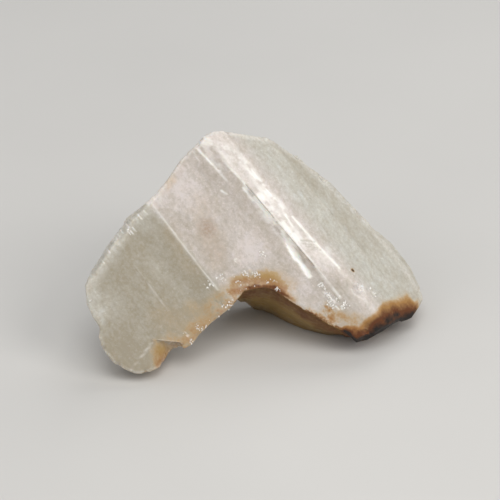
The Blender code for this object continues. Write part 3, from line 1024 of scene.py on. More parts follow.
    def stain(self, stone: Surface, drift: Drift) -> np.ndarray:
        """Gives the golden to brown stain.

        Args:
            stone: The stone's vertices.
            drift: The random shifts.

        Returns:
            Its share for each place.
        """
        slow, quick = self.leg_drift
        leg = Edge.LEG_INSIDE.away(stone.flat) + slow * drift.slow + quick * drift.quick
        low = smooth_step(*self.flank_low, stone.v + self.flank_drift * drift.slow)
        sunk = np.clip(-self.relief.middle_plates(stone), 0.0, 1.0)
        recess = self.flank_recess * sunk * smooth_step(*self.recess_patches, drift.slow)
        base, more = self.flank_stain
        even, patchy = self.flank_patchy
        flank = (stone.side - stone.keel) * ((base + more * low) * (even + patchy * drift.slow) + recess)
        full, wavy = self.keel_stain_and_shade
        pale = self.keel_pale * smooth_step(*self.keel_pale_from, Edge.ARCH_LIP.away(stone.flat))
        away, outer = self.end(stone, drift)
        return np.maximum.reduce((
            stone.along(self.stained, drift.ragged), flank, outer * smooth_step(*self.end_stain, away),
            self.leg_stain * smooth_step(*self.leg_reach, leg),
            stone.keel * (full + wavy * drift.slow - pale)))

    def rust(self, stone: Surface, drift: Drift) -> np.ndarray:
        """Gives the red-brown rust, with painted shade in the strip under the arch's lip.

        Args:
            stone: The stone's vertices.
            drift: The random shifts.

        Returns:
            Its share for each place.
        """
        away, outer = self.end(stone, drift)
        corner = smooth_step(*self.flank_rust_u, stone.u) * smooth_step(*self.flank_rust_v, stone.v)
        return np.maximum.reduce((
            stone.along(self.rusty, self.rust_ragged * drift.ragged),
            outer * smooth_step(*self.end_rust, away + self.end_rust_ragged * drift.quick),
            self.keel_rust_and_shade * self.keel_rim(stone, drift), self.flank_rust * stone.flank * corner))

    def core(self, stone: Surface, drift: Drift) -> np.ndarray:
        """Gives the near-black core of the stain, and painted shade close under the arch's lip.

        Args:
            stone: The stone's vertices.
            drift: The random shifts.

        Returns:
            Its share for each place.
        """
        away, outer = self.end(stone, drift)
        lip = smooth_step(*self.keel_core_reach, Edge.ARCH_LIP.away(stone.flat))
        return np.maximum.reduce((
            stone.along(self.dark, self.core_ragged * drift.ragged),
            outer * smooth_step(*self.end_core_depth, stone.depth) * smooth_step(*self.end_core, away),
            self.keel_core_and_shade * self.keel_rim(stone, drift) * lip))

    def milk(self, stone: Surface, drift: Drift) -> np.ndarray:
        """Gives how milky the stone is, with painted light on the upper left strip and painted sheen on the
        band.

        Args:
            stone: The stone's vertices.
            drift: The random shifts.

        Returns:
            Its share for each place.
        """
        s, t, _ = stone.blade.T
        steps = [share * smooth_step(low, high, s) for low, high, share in self.milk_steps]
        milk = self.milk_base + sum(steps)
        # Painted shade: the band's lower end is made less milky where its sheen fades.
        milk -= self.band_end_painted_fade * hump(*self.band_top, s) * smooth_step(*self.band_top_t, t)
        milk += sum(patch.share(stone.face, stone.stance) for patch in self.clouds)
        milk -= sum(patch.share(stone.face, stone.stance) for patch in self.clear_patches)
        # Painted light: the upper left strip made milkier where it catches light.
        milk += self.left_strip_painted_light * Edge.LEG_OUTSIDE.near(stone.flat, self.left_strip_painted_light_reach)
        milk += self.milk_waves.on(self.relief.fine, stone.blade)
        slow, quick = self.milk_drift
        milk += slow * drift.slow + quick * drift.quick
        base, wavy = self.milk_side
        aside = stone.side * (base + wavy * drift.slow)
        aside += self.milk_plates * stone.flank * self.relief.middle_plates(stone)
        return stone.front * milk + aside

    def frost(self, stone: Surface, drift: Drift, grainy: np.ndarray, stained: np.ndarray) -> np.ndarray:
        """Gives the pale frosting of broken and worn places, and the painted rim light along the stone's
        edges and its upper left strip.

        Args:
            stone: The stone's vertices.
            drift: The random shifts.
            grainy: How grainy each place is.
            stained: How stained or rusty each place is.

        Returns:
            Its share for each place.
        """
        left = Edge.LEG_OUTSIDE.near(stone.flat, self.left_strip_rim_light_reach)
        patches = smooth_step(*self.frost_patches, self.frost_waves.on(self.relief.fine, stone.blade))
        band = hump(*self.frost_band_s, stone.blade[:, 0]) * patches
        # Painted rim light along the outer edges.
        rim = np.maximum.reduce([edge.near(stone.flat, self.painted_rim_light_reach) for edge in self.painted_rim_light_edges])
        frost = np.maximum.reduce((
            self.frost_grainy * grainy, self.left_strip_rim_light * stone.front * left,
            self.frost_band * stone.front * band, self.painted_rim_light * rim,
            self.frost_side * stone.flank * (1.0 + drift.quick)))
        covered = np.clip(self.frost_under_stain * stained, 0.0, 1.0)
        return frost * (1.0 - smooth_step(*self.frost_stained_u, stone.u) * covered)

    def bright(self, stone: Surface) -> np.ndarray:
        """Gives the white of the raised lines, the bruised chips and the small broken flecks: partly white
        wear, partly painted glints and sheen.

        Args:
            stone: The stone's vertices.

        Returns:
            Its share for each place.
        """
        fine, coarse = self.line_waves
        broken = fine.on(self.relief.fine, stone.blade) + coarse.on(self.relief.coarse, stone.face)
        # Small white flecks in the crumbly spots: painted glints.
        painted_glint_shards = smooth_step(*self.shard_patches, self.relief.waves(stone.face, self.shard_waves))
        painted_glint_shards *= smooth_step(*self.shard_spots, stone.under(self.relief.crumb_spots))
        lines = self.relief.lines.bright(stone.flat, broken)
        return stone.front * np.maximum(lines, self.shard_painted_glint * painted_glint_shards)


@dataclass(frozen=True)
class Noise:
    """A noise texture: its scale, octaves and roughness, and its scale along the blades."""

    scale: float
    detail: float
    roughness: float
    along: float = 1.0


class Wiring:
    """Short ways to add shader nodes to a material."""

    NOISE_RANGE = (0.3, 0.7)

    def __init__(self, name: str, axes: Axes | None = None) -> None:
        """Starts a material with a bare Principled shader.

        Args:
            name: The material's name.
            axes: World directions across the blades, along them and out of the face.
        """
        self.axes = axes
        self.material = bpy.data.materials.new(name)
        self.material.use_nodes = True
        self.tree = self.material.node_tree
        self.shader = self.tree.nodes["Principled BSDF"]

    def node(self, kind: str, **values: object) -> bpy.types.Node:
        """Adds a node.

        Args:
            kind: The node's type name.
            values: Its own settings.

        Returns:
            The new node.
        """
        made = self.tree.nodes.new(kind)
        for key, value in values.items():
            setattr(made, key, value)
        return made

    def feed(self, socket: Socket, value: object) -> None:
        """Sets a socket to a number or a colour, or links another socket to it.

        Args:
            socket: The socket to feed.
            value: A number, a colour or the socket to link.
        """
        if isinstance(value, bpy.types.NodeSocket):
            self.tree.links.new(value, socket)
        else:
            socket.default_value = value

    def maths(self, operation: str, first: object, second: object = 0.0, clamp: bool = False) -> Socket:
        """Adds a Math node.

        Args:
            operation: Its operation.
            first: A number or a socket.
            second: A number or a socket.
            clamp: Whether the result is kept between 0 and 1.

        Returns:
            The result's socket.
        """
        made = self.node("ShaderNodeMath", operation=operation, use_clamp=clamp)
        self.feed(made.inputs[0], first)
        self.feed(made.inputs[1], second)
        return made.outputs[0]

    def total(self, *values: object, clamp: bool = False) -> Socket:
        """Adds values up, one after the other.

        Args:
            values: Numbers or sockets.
            clamp: Whether the last result is kept between 0 and 1.

        Returns:
            The sum's socket.
        """
        result = values[0]
        for value in values[1:-1]:
            result = self.maths("ADD", result, value)
        return self.maths("ADD", result, values[-1], clamp=clamp)

    def times(self, first: object, second: object, clamp: bool = False) -> Socket:
        """Multiplies two numbers or sockets, and clamps the product where clamp is set."""
        return self.maths("MULTIPLY", first, second, clamp)

    def swing(self, noise: Socket, reach: float) -> Socket:
        """Turns a noise into a value that swings around 0 by the given reach."""
        return self.span(noise, *self.NOISE_RANGE, -reach, reach)

    def span(self, value: object, low: float, high: float, start: float = 0.0, end: float = 1.0) -> Socket:
        """Adds a Map Range node that keeps to its limits.

        Args:
            value: A number or a socket.
            low: The value that gives start.
            high: The value that gives end.
            start: Result at low.
            end: Result at high.

        Returns:
            The result's socket.
        """
        made = self.node("ShaderNodeMapRange")
        self.feed(made.inputs["Value"], value)
        for name, number in zip(("From Min", "From Max", "To Min", "To Max"), (low, high, start, end)):
            made.inputs[name].default_value = number
        return made.outputs["Result"]

    def blend(self, share: object, under: object, over: object, mode: str = "MIX") -> Socket:
        """Adds a Mix node for colours.

        Args:
            share: How much of over shows.
            under: A colour or a socket.
            over: A colour or a socket.
            mode: The way of mixing.

        Returns:
            The mixed colour's socket.
        """
        made = self.node("ShaderNodeMix", data_type="RGBA", blend_type=mode)
        self.feed(made.inputs["Factor"], share)
        for socket, value in zip((made.inputs[6], made.inputs[7]), (under, over)):
            self.feed(socket, (*value, 1.0) if isinstance(value, tuple) else value)
        return made.outputs[2]

    def noise(self, look: Noise) -> Socket:
        """Adds a noise texture on Object coordinates.

        Args:
            look: Its scale and roughness, and whether it is stretched along the blades.

        Returns:
            The noise value's socket, around 0.5.
        """
        place = self.node("ShaderNodeTexCoord").outputs["Object"]
        if look.along != 1.0:
            place = self.stretched(place, look.along)
        made = self.node("ShaderNodeTexNoise")
        for name, value in zip(("Vector", "Scale", "Detail", "Roughness"),
                               (place, look.scale, look.detail, look.roughness)):
            self.feed(made.inputs[name], value)
        return made.outputs["Fac"]

    def marks(self) -> dict[Mark, Socket]:
        """Reads every mark from the mesh's colour attributes.

        Returns:
            The socket of each mark.
        """
        split = {}
        for layer in {mark.value[0] for mark in Mark}:
            attribute = self.node("ShaderNodeAttribute", attribute_name=layer)
            parts = self.node("ShaderNodeSeparateColor")
            self.feed(parts.inputs[0], attribute.outputs["Color"])
            split[layer] = parts.outputs
        return {mark: split[mark.value[0]][mark.value[1]] for mark in Mark}

    def stretched(self, place: Socket, along: float) -> Socket:
        """Turns coordinates to the blades and scales them along the blades.

        Args:
            place: The coordinates.
            along: The factor along the blades.

        Returns:
            The coordinates' socket.
        """
        joined = self.node("ShaderNodeCombineXYZ")
        for axis, factor, socket in zip(self.axes, (1.0, along, 1.0), joined.inputs):
            dot = self.node("ShaderNodeVectorMath", operation="DOT_PRODUCT")
            self.feed(dot.inputs[0], place)
            dot.inputs[1].default_value = tuple(axis * factor)
            self.feed(socket, dot.outputs["Value"])
        return joined.outputs[0]


@dataclass(frozen=True)
class CalciteFinish:
    """Milky, faintly translucent calcite with pearly cleavage faces and iron stain."""

    clear: Colour = (0.40, 0.352, 0.268)
    lilac: Colour = (0.735, 0.672, 0.642)
    cool: Colour = (0.72, 0.722, 0.68)
    # Near white for the lines, flecks and grains, standing in for their glints: painted highlight.
    white: Colour = (0.98, 0.965, 0.93)
    cream: Colour = (0.56, 0.40, 0.215)
    gold: Colour = (0.45, 0.295, 0.10)
    stain: Colour = (0.37, 0.170, 0.045)
    # Darker than the underside's own stain: partly painted shade.
    olive: Colour = (0.26, 0.148, 0.024)
    rust: Colour = (0.130, 0.036, 0.004)
    core: Colour = (0.008, 0.004, 0.002)
    blush: Colour = (0.44, 0.335, 0.275)
    # Pale frosting colour, used also for the painted rim light.
    frost: Colour = (0.86, 0.84, 0.80)
    subsurface: float = 0.6
    reach: Colour = (1.0, 0.82, 0.62)
    reach_scale: float = 0.0028
    whiten: float = 0.0
    polish: float = 0.0
    ior: float = 1.5
    coat: float = 0.10
    coat_roughness: float = 0.10
    cloud: Noise = Noise(130.0, 5.0, 0.55)
    mottle: Noise = Noise(760.0, 5.0, 0.68, 0.5)
    grit: Noise = Noise(1150.0, 4.0, 0.75)
    crumb: Noise = Noise(1500.0, 3.0, 0.6)
    fleck: Noise = Noise(2400.0, 1.0, 0.5)
    streak: Noise = Noise(1700.0, 2.0, 0.5, 0.12)
    milk_cloud: float = 0.05
    milk_streak: float = 0.025
    milk_mottle: float = 0.14
    milk_grit: float = 0.16
    milk_fleck: Span = (0.62, 0.74, 0.0, 0.2)
    milk_grains: Span = (0.15, 0.7, 0.85, 1.6)
    blush_crumb: Span = (0.35, 0.62, 0.35, 1.0)
    broken_mottle: float = 0.17
    broken_crumb: float = 0.15
    broken_speck: Span = (0.0, 0.8, 0.8, 2.6)
    broken_from: Ramp = (0.0, 0.3)
    cream_cover: Span = (0.02, 0.45, 0.0, 0.8)
    stain_cover: Span = (0.25, 0.85, 0.0, 0.95)
    rust_cover: Ramp = (0.2, 0.85)
    core_cover: Ramp = (0.35, 0.95)
    frost_crumb: Span = (0.4, 0.6, 0.25, 1.0)
    frost_rust: Span = (0.2, 0.7, 0.75, 0.1)
    bright_streak: Span = (0.3, 0.62, 0.72, 1.0)
    rough_mottle: Span = (0.3, 0.7, 0.30, 0.42)
    rough_streak: float = 0.03
    rough_marks: tuple[tuple[Mark, float], ...] = (
        (Mark.SPECK, -0.16), (Mark.BRIGHT, -0.08), (Mark.SIDE, -0.09))
    rough_burnt: Span = (0.2, 1.0, 0.0, 0.35)
    bump_streak: float = 0.22
    bump_mottle: float = 0.8
    bump_speck: Span = (0.0, 1.0, 0.2, 2.0)
    bump_strength: float = 0.35
    bump_distance: float = 0.00006

    def build(self, name: str, axes: Axes) -> bpy.types.Material:
        """Builds the stone's material.

        Args:
            name: The material's name.
            axes: World directions across the blades, along them and out of the face.

        Returns:
            The material.
        """
        wire = Wiring(name, axes)
        marks = wire.marks()
        mottle, crumb, streak = (wire.noise(look) for look in (self.mottle, self.crumb, self.streak))
        colour = self.milky(wire, marks, mottle, streak)
        blushed = wire.times(marks[Mark.BLUSH], wire.span(crumb, *self.blush_crumb))
        colour = self.stained(wire, marks, wire.blend(blushed, colour, self.blush), mottle, crumb)
        colour = self.frosted(wire, marks, colour, crumb, streak)
        looks = {
            "Base Color": wire.blend(self.whiten, colour, self.white),
            "Roughness": self.rough(wire, marks, mottle, streak),
            "IOR": self.ior,
            "Subsurface Weight": self.subsurface,
            "Subsurface Radius": self.reach,
            "Subsurface Scale": self.reach_scale,
            "Coat Weight": self.coat,
            "Coat Roughness": self.coat_roughness,
            "Normal": self.bump(wire, marks, mottle, crumb, streak),
        }
        for socket, value in looks.items():
            wire.feed(wire.shader.inputs[socket], value)
        return wire.material

    def milky(self, wire: Wiring, marks: dict[Mark, Socket], mottle: Socket, streak: Socket) -> Socket:
        """Mixes the clear body with its milkiness, which carries some painted light and sheen.

        Args:
            wire: The material's wiring.
            marks: The marks' sockets.
            mottle: The mottled noise.
            streak: The streaked noise.

        Returns:
            The colour's socket.
        """
        flecks = wire.span(wire.noise(self.fleck), *self.milk_fleck)
        grit = wire.swing(wire.noise(self.grit), self.milk_grit)
        grains = wire.total(wire.swing(mottle, self.milk_mottle), grit, flecks)
        milk = wire.total(
            marks[Mark.MILK], wire.swing(wire.noise(self.cloud), self.milk_cloud),
            wire.times(grains, wire.span(marks[Mark.MILK], *self.milk_grains)),
            wire.swing(streak, self.milk_streak), clamp=True)
        return wire.blend(milk, self.clear, wire.blend(marks[Mark.COOL], self.lilac, self.cool))

    def stained(self, wire: Wiring, marks: dict[Mark, Socket], colour: Socket, mottle: Socket,
                crumb: Socket) -> Socket:
        """Lays the iron stains over the stone, from cream to the near-black core.

        Args:
            wire: The material's wiring.
            marks: The marks' sockets.
            colour: The colour under them.
            mottle: The mottled noise.
            crumb: The crumbly noise.

        Returns:
            The colour's socket.
        """
        broken = wire.total(wire.swing(mottle, self.broken_mottle), wire.swing(crumb, self.broken_crumb))
        broken = wire.times(broken, wire.span(marks[Mark.SPECK], *self.broken_speck))
        stain, rust, core = (
            wire.total(marks[mark], wire.times(broken, wire.span(marks[mark], *self.broken_from)))
            for mark in (Mark.STAIN, Mark.RUST, Mark.CORE))
        tone = wire.blend(marks[Mark.GOLD], self.stain, self.gold)
        tone = wire.blend(marks[Mark.OLIVE], tone, self.olive)
        for share, cover, over in ((stain, self.cream_cover, self.cream), (stain, self.stain_cover, tone),
                                   (rust, self.rust_cover, self.rust), (core, self.core_cover, self.core)):
            colour = wire.blend(wire.span(share, *cover), colour, over)
        return colour

    def frosted(self, wire: Wiring, marks: dict[Mark, Socket], colour: Socket, crumb: Socket,
                streak: Socket) -> Socket:
        """Lays the frosting with its painted rim light, and the white lines with their painted glints and
        sheen, over the stone.

        Args:
            wire: The material's wiring.
            marks: The marks' sockets.
            colour: The colour under them.
            crumb: The crumbly noise.
            streak: The streaked noise.

        Returns:
            The colour's socket.
        """
        frost = wire.times(marks[Mark.FROST], wire.span(crumb, *self.frost_crumb), clamp=True)
        frost = wire.times(frost, wire.span(marks[Mark.RUST], *self.frost_rust))
        # Painted glints and sheen: the white of the lines, bruised chips, flecks and veiling.
        white_glint = wire.times(marks[Mark.BRIGHT], wire.span(streak, *self.bright_streak), clamp=True)
        return wire.blend(white_glint, wire.blend(frost, colour, self.frost), self.white)

    def rough(self, wire: Wiring, marks: dict[Mark, Socket], mottle: Socket, streak: Socket) -> Socket:
        """Works out the roughness.

        Args:
            wire: The material's wiring.
            marks: The marks' sockets.
            mottle: The mottled noise.
            streak: The streaked noise.

        Returns:
            The roughness's socket.
        """
        burnt = wire.span(wire.total(marks[Mark.CORE], marks[Mark.RUST]), *self.rough_burnt)
        worn = [wire.times(marks[mark], share) for mark, share in self.rough_marks]
        even = wire.total(wire.span(mottle, *self.rough_mottle), wire.swing(streak, self.rough_streak))
        return wire.total(even, *worn, burnt, -self.polish, clamp=True)

    def bump(self, wire: Wiring, marks: dict[Mark, Socket], mottle: Socket, crumb: Socket,
             streak: Socket) -> Socket:
        """Adds the finest grain of the surface.

        Args:
            wire: The material's wiring.
            marks: The marks' sockets.
            mottle: The mottled noise.
            crumb: The crumbly noise.
            streak: The streaked noise.

        Returns:
            The normal's socket.
        """
        pitted = wire.times(crumb, wire.span(marks[Mark.SPECK], *self.bump_speck))
        bump = wire.node("ShaderNodeBump")
        bump.inputs["Strength"].default_value = self.bump_strength
        bump.inputs["Distance"].default_value = self.bump_distance
        wire.feed(bump.inputs["Height"], wire.total(
            wire.times(streak, self.bump_streak), wire.times(mottle, self.bump_mottle), pitted))
        return bump.outputs["Normal"]


@dataclass(frozen=True)
class GlintFinish(CalciteFinish):
    """The more polished calcite of the small broken grains, whitened partly for white crumbs and partly as
    painted glints.
    """

    subsurface: float = 0.0
    # Whitening stands in for the grains' sparkle: painted glint.
    whiten: float = 0.74
    polish: float = 0.16


@dataclass(frozen=True)
class FloorFinish:
    """A plain pale floor."""

    colour: Colour = (0.62, 0.61, 0.59)
    cloud: Noise = Noise(9.0, 3.0, 0.5)
    faint: Span = (0.3, 0.7, 0.97, 1.03)
    roughness: float = 0.75

    def build(self, name: str) -> bpy.types.Material:
        """Builds the floor's material.

        Args:
            name: The material's name.

        Returns:
            The material.
        """
        wire = Wiring(name)
        faint = wire.span(wire.noise(self.cloud), *self.faint)
        wire.feed(wire.shader.inputs["Base Color"], wire.blend(1.0, self.colour, faint, "MULTIPLY"))
        wire.feed(wire.shader.inputs["Roughness"], self.roughness)
        return wire.material


def place_object(name: str, data: bpy.types.ID) -> bpy.types.Object:
    """Makes an object at the origin and links it to the scene.

    Args:
        name: The object's name.
        data: Its mesh, light or camera.

    Returns:
        The object.
    """
    made = bpy.data.objects.new(name, data)
    bpy.context.scene.collection.objects.link(made)
    return made


def evaluated_mesh(source: bpy.types.Object) -> bpy.types.Mesh:
    """Makes a plain mesh of an object with its modifiers, and removes the object.

    Args:
        source: The object.

    Returns:
        The plain mesh.
    """
    made = bpy.data.meshes.new_from_object(source.evaluated_get(bpy.context.evaluated_depsgraph_get()))
    bpy.data.objects.remove(source)
    return made


@dataclass
class CalciteLump:
    """The stone itself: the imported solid, cut fine and given its real surface."""

    stance: Stance
    relief: Relief
    stains: Stains
    cell: float = 0.29
    along_share: float = 0.62
    box_play: float = 0.02
    rim_edges: tuple[Edge, ...] = (Edge.RIGHT_RIM, Edge.TOP, Edge.LEG_OUTSIDE)
    rim_near: Ramp = (3.4, 2.04)
    rim_depth: Ramp = (4.5, 3.15)
    rim_rounds: int = 70
    foot_break: Spot = Spot(-20.8, 5.4, 5.0, 5.0)
    foot_near: Ramp = (0.1, 0.5)
    foot_depth: Ramp = (0.6, 1.2)
    foot_rounds: int = 25
    front_facing: Ramp = (0.30, 0.58)
    front_depth: Ramp = (3.0, 1.2)
    front_core: Ramp = (0.7, 1.0)
    front_rounds: int = 3
    keel_v: Ramp = (22.5, 20.5)
    keel_left: Ramp = (-9.0, -5.0)
    keel_right: Ramp = (34.0, 30.0)
    worn_s: tuple[float, float, float] = (20.0, 40.0, 4.0)
    worn_t: Ramp = (-10.0, -4.0)
    worn_rounds: int = 60
    resting: Ramp = (0.12, 0.36)
    grain_floor: Ramp = (1.0, 1.6)
    weld: float = 0.000001

    def fine_mesh(self, node: bpy.types.Object) -> tuple[np.ndarray, bpy.types.Mesh]:
        """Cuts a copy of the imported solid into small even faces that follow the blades.

        Args:
            node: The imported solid.

        Returns:
            The vertices in world metres, snapped to the solid's surface, and the mesh.
        """
        bm = bmesh.new()
        bm.from_mesh(node.data)
        bmesh.ops.remove_doubles(bm, verts=bm.verts, dist=self.weld)
        solid = bpy.data.meshes.new("stone_solid")
        bm.to_mesh(solid)
        tree = BVHTree.FromBMesh(bm)
        bm.free()
        places = self.read(solid)
        blade = self.stance.blades(self.stance.to_face(places))
        blade[:, 1] *= self.along_share
        self.write(solid, blade)
        helper = place_object("stone_helper", solid)
        remesh = helper.modifiers.new("cells", "REMESH")
        remesh.mode = "VOXEL"
        remesh.voxel_size = self.cell
        remesh.use_smooth_shade = True
        made = evaluated_mesh(helper)
        blade = self.read(made)
        blade[:, 1] /= self.along_share
        world = self.stance.to_world(self.stance.from_blades(blade))
        snapped = np.array([tree.find_nearest(Vector(place))[0][:] for place in world])
        self.write(made, snapped)
        made.flip_normals()
        return snapped, made

    @staticmethod
    def read(mesh: bpy.types.Mesh) -> np.ndarray:
        """Reads a mesh's vertices.

        Args:
            mesh: The mesh.

        Returns:
            One row (x, y, z) for each vertex.
        """
        flat = np.empty(len(mesh.vertices) * 3)
        mesh.vertices.foreach_get("co", flat)
        return flat.reshape(-1, 3)

    @staticmethod
    def write(mesh: bpy.types.Mesh, places: np.ndarray) -> None:
        """Moves a mesh's vertices.

        Args:
            mesh: The mesh to change.
            places: One row (x, y, z) for each vertex.
        """
        mesh.vertices.foreach_set("co", places.ravel())
        mesh.update()

    @staticmethod
    def normals(mesh: bpy.types.Mesh) -> np.ndarray:
        """Reads a mesh's vertex normals.

        Args:
            mesh: The mesh.

        Returns:
            One row (x, y, z) for each vertex.
        """
        flat = np.empty(len(mesh.vertices) * 3, np.float32)
        mesh.vertex_normals.foreach_get("vector", flat)
        return flat.reshape(-1, 3).astype(float)

    def relax(self, mesh: bpy.types.Mesh, share: np.ndarray, rounds: int, outward: bool = False) -> None:
        """Moves vertices towards the middle of their neighbours.

        Args:
            mesh: The mesh to change.
            share: How far each vertex goes in a round, from 0 to 1.
            rounds: How many times they move.
            outward: Whether they only move out of the stone, which closes small hollows.
        """
        ends = np.empty(len(mesh.edges) * 2, np.int32)
        mesh.edges.foreach_get("vertices", ends)
        first, second = ends.reshape(-1, 2).T
        here, there = np.concatenate((first, second)), np.concatenate((second, first))
        count = np.bincount(here, minlength=len(mesh.vertices))[:, None]
        for _ in range(rounds):
            places = self.read(mesh)
            sums = [np.bincount(here, places[there, axis], len(places)) for axis in range(3)]
            move = np.column_stack(sums) / count - places
            if outward:
                normals = self.normals(mesh)
                rise = np.einsum("ij,ij->i", move, normals).clip(0.0)
                move = normals * rise[:, None]
            self.write(mesh, places + move * share[:, None])

    def mend_rim(self, mesh: bpy.types.Mesh, face: np.ndarray) -> None:
        """Closes the squarest of the small chips along the front's rim, and smooths the foot's break.

        Args:
            mesh: The mesh to change.
            face: One row (u, v, w) for each vertex.
        """
        depth = self.stance.depth(face)
        near = np.maximum.reduce([edge.near(face[:, :2], self.rim_near) for edge in self.rim_edges])
        near *= smooth_step(*self.rim_depth, depth)
        broken = smooth_step(*self.foot_near, self.foot_break.share(face, self.stance))
        broken *= smooth_step(*self.foot_depth, depth)
        self.relax(mesh, np.maximum(near, broken), self.rim_rounds, outward=True)
        self.relax(mesh, broken, self.foot_rounds)

    def regions(self, mesh: bpy.types.Mesh) -> Surface:
        """Tells the front face and the arch's smooth underside from the rest.

        Args:
            mesh: The stone's mesh.

        Returns:
            The vertices, with how far each belongs to the front and to the arch's underside.
        """
        face = self.stance.to_face(self.read(mesh))
        facing = self.normals(mesh) @ np.array(self.stance.out_of_face())
        front = smooth_step(*self.front_facing, facing)
        front *= smooth_step(*self.front_depth, self.stance.depth(face))
        low = smooth_step(*self.keel_v, face[:, 1])
        low *= smooth_step(*self.keel_left, face[:, 0]) * smooth_step(*self.keel_right, face[:, 0])
        return Surface(self.stance, face, front, low * (1.0 - front))

    def build(self, node: bpy.types.Object, material: bpy.types.Material) -> bpy.types.Object:
        """Makes the stone's visible piece.

        Args:
            node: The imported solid.
            material: The stone's finish.

        Returns:
            The finished piece.
        """
        places, mesh = self.fine_mesh(node)
        mesh.name = "calcite_stone"
        face = self.stance.to_face(places)
        face[:, 2] += self.relief.fill(face)
        self.write(mesh, self.stance.to_world(face))
        self.mend_rim(mesh, face)
        stone = self.regions(mesh)
        core = smooth_step(*self.front_core, stone.front)
        self.relax(mesh, core, self.front_rounds)
        s, t, _ = stone.blade.T
        self.relax(mesh, core * smooth_step(*self.worn_t, t) * hump(*self.worn_s, s), self.worn_rounds)
        moved = self.raised(mesh, stone)
        self.write(mesh, moved)
        for mark, share in self.stains.marks(stone).items():
            self.store(mesh, mark, share)
        grains = mesh.attributes.new(CleavageGrains.SHARE, "FLOAT", "POINT")
        share = self.relief.crumbly(stone) * smooth_step(*self.grain_floor, moved[:, 2] / MM)
        grains.data.foreach_set("value", share.astype(np.float32))
        mesh.materials.clear()
        mesh.materials.append(material)
        return place_object("calcite_stone", mesh)

    def raised(self, mesh: bpy.types.Mesh, stone: Surface) -> np.ndarray:
        """Gives the vertices' places with the relief on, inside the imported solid's box.

        Args:
            mesh: The stone's mesh.
            stone: The stone's vertices.

        Returns:
            One row (x, y, z) for each vertex.
        """
        places = self.read(mesh)
        resting = smooth_step(*self.resting, places[:, 2] / MM)
        moved = places + self.normals(mesh) * (self.relief.lift(stone) * resting * MM)[:, None]
        low, high = (np.array(corner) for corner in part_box("calcite"))
        play = self.box_play * MM
        return np.clip(moved, low + play * np.array((1, 1, 0)), high - play)

    @staticmethod
    def store(mesh: bpy.types.Mesh, mark: Mark, share: np.ndarray) -> None:
        """Writes one mark into its channel of a colour attribute.

        Args:
            mesh: The mesh.
            mark: The mark to write.
            share: Its share for each vertex.
        """
        layer, channel = mark.value
        attribute = mesh.attributes.get(layer) or mesh.attributes.new(layer, "FLOAT_COLOR", "POINT")
        colours = np.empty(len(mesh.vertices) * 4, np.float32)
        attribute.data.foreach_get("color", colours)
        colours = colours.reshape(-1, 4)
        colours[:, channel] = share
        colours[:, 3] = 1.0
        attribute.data.foreach_set("color", colours.ravel())


